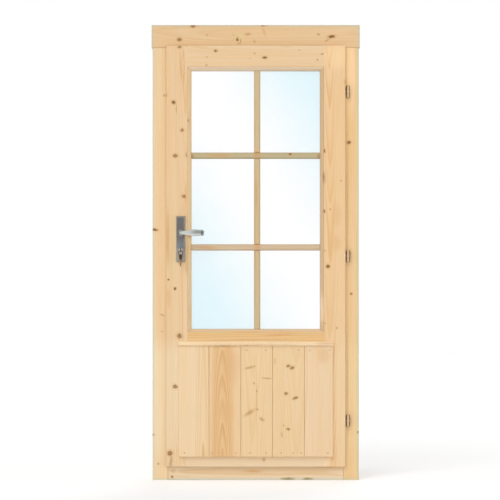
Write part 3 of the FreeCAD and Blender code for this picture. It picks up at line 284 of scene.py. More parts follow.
# Where the photograph shows marks: kind, x and z of the middle, half width and half height (mm),
# turn (degrees, counter-clockwise seen from outdoors). Later marks lie over earlier ones.
MARKS = {
    "frame_head": [
        ("knot", -259, 1875, 11, 6, 0), ("knot", -315, 1820, 10, 7, 0),
        ("sallow", -72, 1827, 26, 24, 0), ("shade", -92, 1818, 10, 4, 0),
        ("shade", -92, 1837, 11, 3, 0), ("stain", -70, 1803, 10, 3, 0),
        ("dark", -76, 1819, 4.6, 6, 0), ("pin", -63, 1815, 3.6, 10, -8),
        ("stain", -76, 1831, 4, 4, 20), ("spike", -33, 1842, 14, 5, 4), ("pin", -5, 1812, 3, 8, 30),
        ("shade", 34, 1853, 7, 30, 20), ("stain", 35, 1876, 15, 4, 0), ("pin", 28, 1878, 6, 5, 0),
        ("pin", 259, 1841, 6.6, 5, 0), ("dark", 313, 1832, 15, 6.6, 5),
        ("spike", 294, 1816, 10, 3.7, 40), ("pin", -201, 1838, 4, 3.3, 0),
    ],
    "top_rail": [
        ("dark", -165, 1772, 6.6, 5, 0), ("dark", 38, 1744, 9.5, 5.4, 0),
        ("pin", -202, 1712, 5, 4, 0), ("pin", -201, 1747, 3.3, 2.9, 0), ("pin", -5, 1761, 4, 4, 0),
        ("spike", -24, 1742, 5.8, 2.5, 30), ("pin", 181, 1775, 4, 3.3, 0),
        ("pin", 275, 1759, 6.6, 3.7, 10), ("pin", 254, 1735, 4, 3.7, 0),
    ],
    "lock_stile": [
        ("knot", -313, 1787, 8.3, 5, 0), ("pin", -371, 1590, 6, 9, 0),
        ("dark", -339, 1560, 8.3, 7.4, 0), ("crack", -327, 1532, 1.7, 18.6, 0),
        ("sallow", -345, 960, 9, 170, 0), ("streak", -289, 1160, 4, 60, 0),
        ("streak", -362, 1010, 8, 120, 0), ("knot", -303, 1444, 7.4, 7.4, 0),
        ("knot", -332, 1339, 10, 8, 0), ("pin", -285, 1343, 2.5, 10.7, 0),
        ("knot", -296, 1172, 8.3, 7.4, 0), ("dark", -360, 829, 4, 4, 0),
        ("dark", -333, 791, 5, 5, 0), ("knot", -315, 595, 11, 11, 0),
        ("knot", -332, 387, 9.5, 8.3, 0), ("knot", -355, 112, 11, 10, 0),
        ("stain", -350, 76, 6.6, 32, -6), ("streak", -308, 1702, 4, 74, 3),
        ("streak", -296, 1673, 3.3, 82, -3), ("shade", -298, 1757, 4.5, 30, 0),
        ("tan", -360, 752, 16, 50, 0),
    ],
    "jamb_left": [
        ("dark", -417, 1034, 12.4, 5.4, -12), ("spike", -387, 682, 9, 4, -30),
        ("pin", -387, 614, 4, 3.3, 0), ("knot", -423, 186, 4, 4, 0), ("pin", -402, 67, 5, 5, 0),
        ("stain", -378, 1588, 4, 8, 0),
    ],
    "hinge_stile": [
        ("blond", 335, 1752, 62, 62, 0), ("tan", 332, 1094, 26, 62, 0),
        ("tan", 333, 981, 26, 48, 0), ("dark", 284, 1360, 4, 8, 0), ("stain", 284, 1248, 5, 30, 0),
        ("pin", 352, 1236, 3.7, 3.3, 0), ("knot", 284, 1110, 4, 6.2, 0),
        ("pin", 307, 1118, 4, 4, 0), ("dark", 298, 883, 7.8, 7.4, 0),
        ("pin", 285, 648, 3.7, 3.7, 0), ("pin", 334, 629, 3.3, 5, 0), ("pin", 285, 947, 3.3, 4, 0),
        # By the hinges: the 'shade' marks at x 370 are painted shade left of the top hinge, the
        # 'pale' marks at x 368 painted highlights beside the low and middle hinges
        ("streak", 366, 1644, 3.3, 16.5, 0), ("shade", 370, 1615, 3.2, 8, 0),
        ("shade", 370, 1594, 3.2, 8, 0), ("pale", 292, 74, 22, 24, 0), ("pale", 368, 253, 4, 24, 0),
        ("pale", 368, 926, 4, 14, 0),
    ],
    "jamb_right": [
        ("blond", 393, 1700, 20, 140, 0), ("blond", 393, 1670, 22, 180, 0),
        # The 'tan' and 'stain' marks at x 391, z 926 to 934, are painted shadow right of the middle
        # hinge
        ("tan", 391, 926, 10, 28, 0), ("dark", 384, 1395, 9, 7.4, 0),
        ("pin", 378, 1243, 3.3, 3.3, 0), ("knot", 395, 770, 5, 5, 0),
        ("knot", 423, 197, 4.5, 4.5, 0), ("streak", 372, 1646, 3.3, 16, 0),
        # The 'shade' marks at x 379 are painted shadow beside the leaf's edge, the one at x 391
        # painted shadow right of the low hinge
        ("shade", 379, 1120, 6, 460, 0), ("shade", 379, 400, 5, 340, 0),
        ("stain", 391, 934, 4, 20, 0), ("shade", 391, 246, 5, 26, 0),
    ],
    "high_bar_outside": [
        ("dark", 141, 1346, 6, 4, 0), ("streak", 6, 1343, 22, 12, 0),
        ("streak", -150, 1341, 60, 8, 2), ("stain", -261, 1337, 8, 13, 0),
        ("stain", 259, 1337, 8, 13, 0),
    ],
    "low_bar_outside": [("streak", 6, 962, 20, 12, 0), ("streak", -200, 960, 50, 6, -2)],
    "upright_bar_outside": [
        ("streak", 6, 1343, 14, 24, 0), ("streak", 6, 962, 14, 22, 0),
        ("streak", 4, 1190, 4, 90, 0),
    ],
    "bead_left": [
        ("tan", -273, 1487, 12, 46, 0), ("tan", -273, 694, 10, 44, 0),
        # The 'stain' mark at x -272 is painted shadow under the lever
        ("pin", -279, 1483, 4, 8.5, 0), ("stain", -272, 1005, 9, 5, 0),
    ],
    "bead_right": [
        ("crack", 278, 1252, 2.2, 26, 0), ("stain", 279, 1110, 4, 8, 0),
        ("pale", 273, 708, 10, 62, 0),
    ],
    "board_3": [
        ("spike", -26, 466, 19, 5.4, 12), ("pin", -5, 472, 4, 4, 0), ("pin", -7, 402, 3.7, 5.4, 0),
        ("pin", 5, 369, 2.9, 4, 0), ("spike", 45, 422, 20, 3.7, -3),
        ("spike", -26, 280, 24.8, 7.4, 32), ("pin", 5, 294, 5, 5, 0),
        ("spike", 26, 253, 10.7, 6.6, -35), ("stain", 73, 494, 3, 13, 0),
        # The 'crack' mark at z 556.5 is a thin dark line just under the cap strip
        ("crack", -22, 556.5, 40, 1.5, 0), ("streak", 4, 335, 1.8, 150, 0),
    ],
    "board_4": [
        ("knot", 134, 473, 7.4, 5.8, 0), ("knot", 151, 465, 9.5, 6.2, 30),
        ("knot", 125, 359, 6.6, 5.8, 0), ("knot", 163, 341, 11, 5, 18), ("pin", 115, 228, 4, 4, 0),
        ("knot", 134, 213, 7, 4.5, -10), ("spike", 107, 191, 3.3, 10.7, 10),
        ("stain", 79, 494, 3, 13, 0),
    ],
    "bottom_rail": [("spike", 34, 87, 6.6, 8.3, 0)],
    "mid_rail": [
        ("sallow", -164, 611, 66, 7, 0), ("sallow", 205, 612, 40, 5, 0),
        ("streak", 96, 600, 70, 5, 2), ("shade", -10, 579, 330, 4.5, 0),
    ],
    "board_2": [
        ("tan", -129, 290, 40, 60, 0), ("tan", -105, 475, 46, 90, 0),
        # The 'crack' mark at z 556.5 is a thin dark line just under the cap strip
        ("crack", -127, 556.5, 66, 1.6, 0),
    ],
    "board_5": [("tan", 276, 519, 30, 40, 0)],
    "cap_strip": [("shade", 290, 566, 50, 9, 0), ("shade", -10, 561, 330, 3.5, 0)],
    "sill": [
        ("knot", -345, 13, 5, 4.5, 0), ("wane", 133, 5, 33, 6.6, 0), ("wane", 216, 5, 25, 5.8, 0),
        ("streak", -13, 36, 41, 7.4, 0), ("shade", -342, 38, 15, 9, 0),
    ],
}


def mark_group(kind):
    """A node group that lays one mark of this kind over a colour and lifts the rings round it."""
    stops, reach, bend = MARK_KINDS[kind]
    group = bpy.data.node_groups.new(f"wood_{kind}", "ShaderNodeTree")
    for in_out, names, socket_type in (
        ("INPUT", ("Place", "Middle", "Turn", "Size"), "NodeSocketVector"),
        ("INPUT", ("Share", "Lift"), "NodeSocketFloat"),
        ("INPUT", ("Colour",), "NodeSocketColor"),
        ("OUTPUT", ("Colour",), "NodeSocketColor"),
        ("OUTPUT", ("Lift",), "NodeSocketFloat"),
    ):
        for name in names:
            group.interface.new_socket(name=name, in_out=in_out, socket_type=socket_type)
    tree = Tree(group)
    given = tree.add("NodeGroupInput").outputs
    inputs = {
        "Vector": given["Place"], "Location": given["Middle"],
        "Rotation": given["Turn"], "Scale": given["Size"],
    }
    local = tree.add("ShaderNodeMapping", inputs, vector_type="TEXTURE").outputs[0]
    far = tree.vector("LENGTH", local)
    stops = [(place, linear(*colour)) for place, *colour in stops]
    colour, cover = tree.ramp(tree.math("DIVIDE", far, reach), stops)
    cover = tree.math("MULTIPLY", cover, given["Share"])
    bulge = tree.math("MULTIPLY", tree.fade(far, 0.0, 2.5, bend * RING_BEND, 0.0), given["Share"])
    tree.add("NodeGroupOutput", {
        "Colour": tree.blend(cover, given["Colour"], colour),
        "Lift": tree.math("ADD", given["Lift"], bulge),
    })
    return group


MARK_GROUPS = {kind: mark_group(kind) for kind in MARK_KINDS}


def lay_marks(tree, place, on_face, marks):
    """The groups of a piece's marks, all but their colour joined, and how they lift the rings."""
    axes = tree.axes(place)
    elsewhere = tree.vector("ADD", place, (3.1, 1.7, 4.3))
    sideways, upwards = (
        tree.sway(tree.noise(start, 120.0, detail=3.0, roughness=0.6), MARK_WOBBLE)
        for start in (place, elsewhere)
    )
    wobbled = tree.vector(
        "ADD", tree.combine(axes["X"], 0.0, axes["Z"]), tree.combine(sideways, 0.0, upwards),
    )
    groups = []
    lift = 0.0
    for kind, x, z, half_width, half_height, turn in marks:
        group = tree.add("ShaderNodeGroup", node_tree=MARK_GROUPS[kind])
        for name, value in (
            ("Place", wobbled), ("Share", on_face), ("Middle", (x * MM, 0, z * MM)),
            ("Turn", (0, math.radians(-turn), 0)), ("Size", (half_width * MM, 1, half_height * MM)),
            ("Lift", lift),
        ):
            tree.put(value, group.inputs[name])
        lift = group.outputs["Lift"]
        groups.append(group)
    return groups, lift


# What a piece's own colour is multiplied by where it changes to these: red, green, blue
LATE_WOOD = (0.86, 0.68, 0.46)
WARM_BAND = (0.95, 0.82, 0.62)
DEEPER = (0.95, 0.84, 0.68)
SOILED = (0.62, 0.48, 0.34)
GREYER_EDGE = (0.70, 0.97, 1.22)
# What the colour so far is multiplied by, in some stretches and at the foot
ROSIER = (1.0, 0.95, 0.87, 1.0)
PALER_FOOT = (1.06, 1.17, 1.30, 1.0)
# The linear colour of the darkest fibres
FIBRE_LINES = (0.35, 0.22, 0.11, 1.0)

# An edge of a piece that lies this near the whole door's box is an outer edge
OUTSIDE_EDGE = 0.005


def wood(
    name, colour, grain="z", pith=(0.03, 0.05), spacing=2.6, contrast=0.5, lean=0.0, marks=(),
    late=LATE_WOOD, figure=None, rim_share=0.25, uneven=1.0, foot=0.0,
):
    """Bare pine for one CAD node: rings about a pith line, fibres, marks and worn arrises.

    pith is how far the pith lies off the piece's middle, across and deep. spacing is the width of
    a ring in mm. lean is how fast the pith drifts off along the piece. figure narrows the strong
    rings to a band: how far from the pith it starts to fade, where it has faded, and how much
    warmer the band is. uneven makes the slow changes of tone stronger. foot is the share by
    which the piece turns paler and bluer towards its foot.
    """
    material, tree = new_material(f"{name}_wood")
    low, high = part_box(name)
    place = tree.place()
    axes = tree.axes(place)
    along, across = (axes["Z"], axes["X"]) if grain == "z" else (axes["X"], axes["Z"])
    deep = axes["Y"]
    run, side = (2, 0) if grain == "z" else (0, 2)
    middle = [(start + end) / 2 for start, end in zip(low, high)]
    seed = random.uniform(-50, 50)
    shifted = tree.math("ADD", along, seed)

    def drawn_out(crosswise, lengthwise, detail, roughness=0.5, length=shifted):
        """Noise that is drawn out along the grain."""
        stretched = tree.combine(
            tree.math("MULTIPLY", across, crosswise), tree.math("MULTIPLY", deep, crosswise),
            tree.math("MULTIPLY", length, lengthwise),
        )
        return tree.noise(stretched, 1.0, detail, roughness)

    slow = drawn_out(5.0, 1.1, detail=1.0)
    quick = drawn_out(60.0, 7.0, detail=2.0)
    tone = drawn_out(26.0, 1.6, detail=3.0, roughness=0.55)
    hue = drawn_out(48.0, 1.1, detail=2.0)
    fibre = drawn_out(700.0, 14.0, detail=3.0, roughness=0.6, length=along)

    # Marks lie on the front and back faces, and run out soon after they turn over an arris
    on_face = tree.fade(tree.inside(deep, low[1], high[1]), 0.004, 0.013, 1.0, 0.0)
    groups, lift = lay_marks(tree, place, on_face, marks)

    # Rings: pale early wood that darkens to late wood and then breaks off
    off_pith = tree.math("SUBTRACT", across, middle[side] + pith[0])
    slant = tree.math("MULTIPLY", tree.math("SUBTRACT", along, middle[run]), lean)
    below_pith = tree.math("SUBTRACT", tree.math("ADD", deep, slant), middle[1] + pith[1])
    radius = tree.vector("LENGTH", tree.combine(off_pith, below_pith, 0.0))
    for more in (tree.sway(slow, 0.022), tree.sway(quick, 0.0016), lift):
        radius = tree.math("ADD", radius, more)
    rings = tree.math("DIVIDE", radius, spacing * MM)
    share = tree.math("FRACT", rings)
    ring = tree.math("MULTIPLY", tree.fade(share, 0.25, 0.9), tree.fade(share, 0.93, 1.0, 1.0, 0.0))
    number = {"W": tree.math("FLOOR", rings)}
    each = tree.add("ShaderNodeTexWhiteNoise", number, noise_dimensions="1D").outputs[0]
    ring = tree.math("MULTIPLY", ring, tree.math("MULTIPLY_ADD", each, 0.7, 0.45))
    if figure:
        off_band = tree.math("ADD", tree.math("ABSOLUTE", off_pith), tree.sway(slow, 0.02))
        near_pith = tree.fade(off_band, figure[0], figure[1], 1.0, 0.0)
        ring = tree.math("MULTIPLY", ring, tree.math("MULTIPLY_ADD", near_pith, 0.85, 0.15))

    # Fibres and slow changes of tone along the board
    base = linear(*colour)
    early = tuple(min(1.0, value * (1 + 0.05 * contrast)) for value in base[:3]) + (1.0,)
    shade = tree.blend(tree.math("MULTIPLY", ring, contrast), early, times(base, late))
    if figure:
        warmth = tree.math("MULTIPLY", near_pith, figure[2])
        shade = tree.blend(warmth, shade, times(base, WARM_BAND))
    shade = tree.blend(tree.fade(tone, 0.3, 0.7, 0.0, 0.16 * uneven), shade, times(base, DEEPER))
    shade = tree.blend(tree.fade(hue, 0.36, 0.64, 0.0, 0.75), shade, ROSIER, "MULTIPLY")
    shade = tree.blend(tree.fade(fibre, 0.35, 0.75, 0.0, 0.10), shade, FIBRE_LINES)
    # The piece turns paler and bluer towards its foot
    if foot:
        above_ground = tree.math("ADD", along, tree.sway(slow, 0.16))
        paler_below = tree.math(
            "MULTIPLY", tree.fade(above_ground, 0.50, 0.62, foot, 0.0),
            tree.fade(above_ground, 0.04, 0.20, 0.35, 1.0),
        )
        shade = tree.blend(paler_below, shade, PALER_FOOT, "MULTIPLY")

    # Worn, slightly soiled arrises at the ends and sides of the piece
    rim = tree.math(
        "MINIMUM", tree.inside(across, low[side], high[side]),
        tree.inside(along, low[run], high[run]),
    )
    rim = tree.math("ADD", rim, tree.sway(quick, 0.002))
    shade = tree.blend(tree.fade(rim, 0.0, 0.0035, rim_share, 0.0), shade, times(base, SOILED))

    # The frame's faces turn greyer towards its outer edges
    edge = None
    for axis, coordinate in ((0, axes["X"]), (2, axes["Z"])):
        for outside, start, end in (
            (low[axis] < cad_box[0][axis] + OUTSIDE_EDGE, low[axis], coordinate),
            (high[axis] > cad_box[1][axis] - OUTSIDE_EDGE, coordinate, high[axis]),
        ):
            if outside:
                from_edge = tree.math("SUBTRACT", end, start)
                edge = from_edge if edge is None else tree.math("MINIMUM", edge, from_edge)
    if edge is not None:
        edge = tree.math("ADD", edge, tree.sway(quick, 0.006))
        grey = tree.math("MULTIPLY", tree.fade(edge, 0.0, 0.014, 0.7, 0.0), on_face)
        shade = tree.blend(grey, shade, times(base, GREYER_EDGE))

    for group in groups:
        tree.put(shade, group.inputs["Colour"])
        shade = group.outputs["Colour"]

    relief = tree.math("MULTIPLY", ring, 0.5 * contrast)
    relief = tree.math("ADD", relief, tree.math("MULTIPLY", fibre, 0.6))
    finish_material(tree, {
        "Base Color": shade, "Roughness": tree.math("MULTIPLY_ADD", fibre, 0.18, 0.48),
        "Normal": tree.bump(relief, distance=0.00022, strength=0.8), "Specular IOR Level": 0.35,
    })
    return material


# Node: its colour (0 to 255), then how the piece was cut from the tree, as wood() explains
WOOD = {
    "frame_head": dict(
        colour=(225, 194, 153), grain="x", pith=(0.02, 0.09), spacing=3.2, contrast=0.26,
        lean=0.009, uneven=1.6,
    ),
    "jamb_left": dict(
        colour=(236, 208, 168), pith=(-0.05, 0.05), spacing=2.8, contrast=0.26, lean=0.006,
        uneven=2.2, foot=0.85,
    ),
    "jamb_right": dict(
        colour=(232, 201, 153), pith=(0.04, 0.06), spacing=2.6, contrast=0.32, lean=0.005,
        uneven=2.2, foot=0.45,
    ),
    "sill": dict(
        colour=(231, 211, 181), grain="x", pith=(0.0, 0.07), spacing=2.8, contrast=0.45, lean=0.01,
    ),
    "stop_sill": dict(colour=(230, 199, 156), grain="x", pith=(0.03, 0.05), contrast=0.45),
    "stop_head": dict(colour=(232, 200, 156), grain="x", pith=(0.03, 0.05), contrast=0.45),
    "stop_left": dict(colour=(235, 204, 160), pith=(0.03, 0.05), contrast=0.45),
    "stop_right": dict(colour=(233, 200, 155), pith=(-0.03, 0.05), contrast=0.45),
    "lock_stile": dict(
        colour=(229, 200, 162), pith=(0.03, 0.045), spacing=3.6, contrast=0.42, lean=0.02,
        uneven=1.4, foot=1.0,
    ),
    "hinge_stile": dict(
        colour=(230, 198, 156), pith=(-0.012, 0.032), spacing=4.2, contrast=0.62, lean=0.022,
        figure=(0.014, 0.034, 0.1), rim_share=0.05, uneven=1.4, foot=0.5,
    ),
    "top_rail": dict(
        colour=(229, 201, 164), grain="x", pith=(0.05, 0.05), spacing=3.0, contrast=0.28,
        lean=0.008,
    ),
    "mid_rail": dict(
        colour=(226, 192, 143), grain="x", pith=(0.0, 0.06), spacing=3.2, contrast=0.7, lean=0.014,
    ),
    "bottom_rail": dict(
        colour=(232, 211, 179), grain="x", pith=(0.03, 0.06), spacing=3.0, contrast=0.4, lean=0.01,
    ),
    "bead_left": dict(colour=(227, 200, 157), pith=(0.02, 0.04), contrast=0.4),
    "bead_right": dict(colour=(209, 183, 149), pith=(0.02, 0.04), contrast=0.4),
    "bead_top": dict(colour=(232, 211, 184), grain="x", pith=(0.02, 0.04), contrast=0.4),
    "bead_bottom": dict(colour=(226, 196, 162), grain="x", pith=(0.02, 0.04), contrast=0.4),
    "upright_bar_outside": dict(colour=(203, 183, 147), pith=(0.02, 0.04), contrast=0.5),
    "high_bar_outside": dict(colour=(186, 176, 143), grain="x", pith=(0.02, 0.04), contrast=0.6),
    "low_bar_outside": dict(colour=(206, 186, 159), grain="x", pith=(0.02, 0.04), contrast=0.6),
    "upright_bar_inside": dict(colour=(216, 190, 150), pith=(0.02, 0.04), contrast=0.4),
    "high_bar_inside": dict(colour=(212, 186, 146), grain="x", pith=(0.02, 0.04), contrast=0.45),
    "low_bar_inside": dict(colour=(212, 186, 146), grain="x", pith=(0.02, 0.04), contrast=0.45),
    "board_1": dict(
        colour=(234, 209, 173), pith=(0.038, 0.018), spacing=6.0, contrast=0.8, lean=-0.014,
        late=(0.82, 0.66, 0.42), figure=(0.012, 0.040, 0.15), rim_share=0.1,
    ),
    "board_2": dict(
        colour=(229, 199, 159), pith=(-0.014, 0.024), spacing=5.0, contrast=1.0, lean=-0.040,
        late=(0.72, 0.50, 0.28), figure=(0.028, 0.058, 0.6), rim_share=0.1,
    ),
    "board_3": dict(
        colour=(232, 206, 165), pith=(-0.02, 0.08), spacing=4.5, contrast=0.25, lean=0.02,
        rim_share=0.1,
    ),
    "board_4": dict(
        colour=(232, 205, 164), pith=(0.03, 0.09), spacing=4.5, contrast=0.25, lean=0.02,
        rim_share=0.1,
    ),
    "board_5": dict(
        colour=(233, 207, 172), pith=(-0.06, 0.04), spacing=5.0, contrast=0.3, lean=0.015,
        rim_share=0.1,
    ),
    "cap_strip": dict(colour=(248, 229, 197), grain="x", pith=(0.02, 0.05), contrast=0.4),
    "inner_panel": dict(
        colour=(236, 203, 158), pith=(0.0, -0.06), spacing=4.5, contrast=0.4, lean=0.03,
    ),
}


def soften_arrises(node):
    """Rounds the piece's sharp arrises a little, as planed and sanded wood has them."""
    weld = node.modifiers.new("join_faces", "WELD")
    weld.merge_threshold = 0.00001
    bevel = node.modifiers.new("soft_arrises", "BEVEL")
    bevel.width = 0.0009
    bevel.segments = 2
    bevel.limit_method = "ANGLE"
    bevel.angle_limit = math.radians(35)
    bevel.use_clamp_overlap = True
    bevel.harden_normals = True


def set_material(node, material):
    for place in node.material_slots:
        place.link = "OBJECT"
        place.material = material


# Glass and metal

# Where the painted blue-green reflection on the glass is faintest: a band through this x and z, and
# the way across it
FAINTEST_REFLECTION_BAND = (-0.229, 1.61)
ACROSS_BAND = (0.864, 0.509)


def clear_glass():
    """Clear window glass, with a painted blue-green reflection that deepens away from a diagonal
    band.
    """
    material, tree = new_material("window_glass")
    place = tree.place()
    axes = tree.axes(place)
    aslant = tree.math(
        "ADD",
        tree.math("MULTIPLY", tree.math("ADD", axes["X"], -FAINTEST_REFLECTION_BAND[0]), ACROSS_BAND[0]),
        tree.math("MULTIPLY", tree.math("ADD", axes["Z"], -FAINTEST_REFLECTION_BAND[1]), ACROSS_BAND[1]),
    )
    aslant = tree.math("ADD", aslant, tree.sway(tree.noise(place, 5.0, detail=2.0), 0.12))
    painted_reflection_tint = tree.fade(tree.math("ABSOLUTE", aslant), 0.04, 0.50)
    facing = tree.add("ShaderNodeLayerWeight", {"Blend": 0.5}).outputs["Facing"]
    edge_on = tree.math("MULTIPLY", tree.math("POWER", facing, 5.0), 0.9)
    ripples = tree.noise(place, 9.0, detail=1.0)
    finish_material(tree, {
        "Base Color": linear(133, 226, 247), "Roughness": 0.03, "IOR": 1.5,
        "Alpha": tree.math("MULTIPLY_ADD", painted_reflection_tint, 0.18, edge_on, clamp=True),
        "Normal": tree.bump(ripples, distance=0.0003, strength=0.4),
    })
    return material


def painted_plate_reflections(tree, place, shade, node):
    """Painted reflections and highlights on a plate: a paler lower half, by the keyhole, round the
    spindle and along the edges.
    """
    low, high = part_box(node)
    axes = tree.axes(place)
    x, z = axes["X"], axes["Z"]
    middle = (low[2] + high[2]) / 2
    # Painted reflection: the lower half paler and bluer
    lower = tree.fade(z, middle - 0.045, middle + 0.02, 0.9, 0.0)
    shade = tree.blend(lower, shade, linear(144, 151, 157))
    keyhole_highlight = tree.fade(z, low[2] + 0.045, low[2] + 0.062, 0.9, 0.0)
    shade = tree.blend(keyhole_highlight, shade, linear(174, 164, 150))
    spindle_low, spindle_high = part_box("spindle")
    from_spindle = tree.vector("LENGTH", tree.combine(
        tree.math("SUBTRACT", x, (spindle_low[0] + spindle_high[0]) / 2), 0.0,
        tree.math("SUBTRACT", z, (spindle_low[2] + spindle_high[2]) / 2),
    ))
    spindle_highlight = tree.fade(from_spindle, 0.010, 0.016, 0.85, 0.0)
    shade = tree.blend(spindle_highlight, shade, linear(182, 176, 181))
    # The painted highlight along the left edge is narrower than along the others
    from_left = tree.math("MULTIPLY", tree.math("SUBTRACT", x, low[0]), 2.5)
    from_sides = tree.math("MINIMUM", from_left, tree.math("SUBTRACT", high[0], x))
    from_edge = tree.math("MINIMUM", from_sides, tree.inside(z, low[2], high[2]))
    uneven = tree.sway(tree.noise(place, 90.0, detail=2.0), 0.004)
    from_edge = tree.math("ADD", from_edge, uneven)
    edge_highlight = tree.fade(from_edge, 0.003, 0.008, 0.85, 0.0)
    return tree.blend(edge_highlight, shade, linear(166, 161, 148))


def painted_lever_reflections(tree, place, shade, node):
    """Painted reflections on a lever: a darker grip, highlights along its edges and a dark spot
    near its far end.
    """
    axes = tree.axes(place)
    x, z = axes["X"], axes["Z"]
    low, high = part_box(node)
    end = high[0]
    middle = (low[2] + high[2]) / 2
    # Painted darker reflection over the far part of the grip
    shade = tree.blend(tree.fade(x, end - 0.066, end - 0.026), shade, linear(150, 156, 153))
    # Painted highlights along the lower edge and, fainter, along the upper edge
    lever_highlight = tree.math(
        "MAXIMUM", tree.fade(z, middle - 0.0065, middle - 0.0020, 0.85, 0.0),
        tree.fade(z, middle + 0.0070, middle + 0.0100, 0.0, 0.4),
    )
    shade = tree.blend(lever_highlight, shade, linear(216, 218, 214))
    # Painted dark reflection near the far end
    off_dark_reflection = tree.math("ABSOLUTE", tree.math("SUBTRACT", z, middle - 0.0025))
    dark_reflection = tree.math(
        "MULTIPLY", tree.fade(x, end - 0.0100, end - 0.0080),
        tree.fade(x, end - 0.0035, end - 0.0020, 0.85, 0.0),
    )
    dark_reflection = tree.math("MULTIPLY", dark_reflection, tree.fade(off_dark_reflection, 0.0060, 0.0095, 1.0, 0.0))
    return tree.blend(dark_reflection, shade, linear(70, 68, 64))


def dark_bow(tree, place, shade, node):
    """A key whose bow has darkened and whose blade is bright."""
    z = tree.axes(place)["Z"]
    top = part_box(node)[1][2]
    return tree.blend(tree.fade(z, top - 0.0235, top - 0.0215), shade, linear(66, 52, 48))


def painted_barrel_shade(tree, place, shade, upper_knuckles):
    """Hinge barrels: painted shade on both sides of the knuckles, left out where the knuckles meet.
    """
    axes = tree.axes(place)
    leaf_hinge = frame["record"]["behaviour"]["joints"][0]
    off_axis = tree.math("SUBTRACT", axes["X"], leaf_hinge["pos_m"][0])
    # Painted shade on both flanks of the round barrel
    barrel_side_shade = tree.math(
        "MAXIMUM", tree.fade(off_axis, -0.0050, -0.0026, 0.85, 0.0),
        tree.fade(off_axis, 0.0026, 0.0048, 0.0, 0.85),
    )
    for node in upper_knuckles:
        from_joint = tree.math("ABSOLUTE", tree.math("SUBTRACT", axes["Z"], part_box(node)[0][2]))
        barrel_side_shade = tree.math("MULTIPLY", barrel_side_shade, tree.fade(from_joint, 0.001, 0.003))
    return tree.blend(barrel_side_shade, shade, linear(92, 62, 32))


def metal(
    name, colour, roughness, streaks, dirt, brushed=(1.0, 1.0, 1.0), metallic=1.0, wear_and_painted_light=None,
):
    """Metal with brushing, finger marks, soiled places, and tones laid by place.

    streaks and dirt are the shares of brushing and of soil. brushed draws the brushing out along
    the axis with the small number. wear_and_painted_light is a function that tones the colour by
    place, with worn places and with painted highlights, reflections and shade, and what it is given
    last.
    """
    material, tree = new_material(name)
    place = tree.place()
    stretched = tree.vector("MULTIPLY", place, brushed)
    fine = tree.noise(stretched, 900.0, detail=3.0, roughness=0.6)
    smear = tree.noise(place, 38.0, detail=4.0, roughness=0.6)
    spots = tree.noise(place, 260.0, detail=3.0, roughness=0.6)
    base = linear(*colour)
    shade = wear_and_painted_light[0](tree, place, base, wear_and_painted_light[1]) if wear_and_painted_light else base
    for share, factors in (
        (tree.fade(fine, 0.3, 0.7, 0.0, streaks), (0.6, 0.6, 0.6)),
        (tree.fade(smear, 0.5, 0.75, 0.0, dirt), (0.62, 0.56, 0.48)),
        (tree.fade(spots, 0.62, 0.75, 0.0, dirt), (0.5, 0.42, 0.34)),
    ):
        shade = tree.blend(share, shade, times(base, factors))
    rough = tree.fade(fine, 0.2, 0.8, roughness * 0.8, roughness * 1.25)
    rough = tree.math("ADD", rough, tree.fade(smear, 0.45, 0.8, 0.0, 0.14))
    finish_material(tree, {
        "Base Color": shade, "Metallic": metallic, "Roughness": rough,
        "Normal": tree.bump(fine, distance=0.00004, strength=0.5),
    })
    return material


# Pieces that only the picture needs: the heads of nails and screws

# x and z of the nails (mm): the boards' upper ends, then their lower ends
NAILS = [
    (-38, 538), (42, 537), (176, 538), (222, 537), (305, 538),
    (-294, 115), (-180, 114), (-151, 115), (-82, 114), (-24, 115), (42, 114), (105, 115),
    (154, 115), (186, 114), (297, 114),
]
# How far a screw sits from its plate's end, and how far the indoor plate's face stands off the leaf
SCREW_INSET = 0.012
PLATE_THICKNESS = 0.008


def add_piece(name, mesh_maker, material, body):
    """One piece of mesh code as an object that rides on a body."""
    mesh = bpy.data.meshes.new(name)
    shape = bmesh.new()
    mesh_maker(shape)
    bmesh.ops.recalc_face_normals(shape, faces=shape.faces)
    shape.to_mesh(mesh)
    shape.free()
    piece = bpy.data.objects.new(name, mesh)
    bpy.context.scene.collection.objects.link(piece)
    mesh.materials.append(material)
    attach(piece, body)


def ring_of_points(shape, place, turn, radii, height, spin=Matrix.Identity(3)):
    """Points round an axis through place, each at its own radius, at one height along the axis."""
    points = []
    for i, radius in enumerate(radii):
        angle = 2 * math.pi * i / len(radii)
        local = spin @ Vector((radius * math.cos(angle), radius * math.sin(angle), height))
        points.append(shape.verts.new(Vector(place) + turn @ local))
    return points


def nail_heads(shape):
    """Flat-headed nails along the boards' upper and lower ends, set a little unevenly."""
    face_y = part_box("board_1")[0][1]
    into_board = Vector((0, 1, 0)).to_track_quat("Z", "Y").to_matrix()
    steps = 14
    for x, z in NAILS:
        proud = random.uniform(0.0002, 0.0006)
        rings = [
            ring_of_points(shape, (x * MM, face_y, z * MM), into_board, [radius] * count, height)
            for radius, height, count in (
                (0.0031, 0.0008, steps), (0.0031, -proud, steps), (0.0027, -proud - 0.0003, steps),
                (0.0, -proud - 0.00045, 1),
            )
        ]
        for lower, upper in zip(rings, rings[1:]):
            for i in range(steps):
                corners = [
                    lower[i % len(lower)], lower[(i + 1) % len(lower)],
                    upper[(i + 1) % len(upper)], upper[i % len(upper)],
                ]
                face = shape.faces.new(list(dict.fromkeys(corners)))
                face.smooth = True


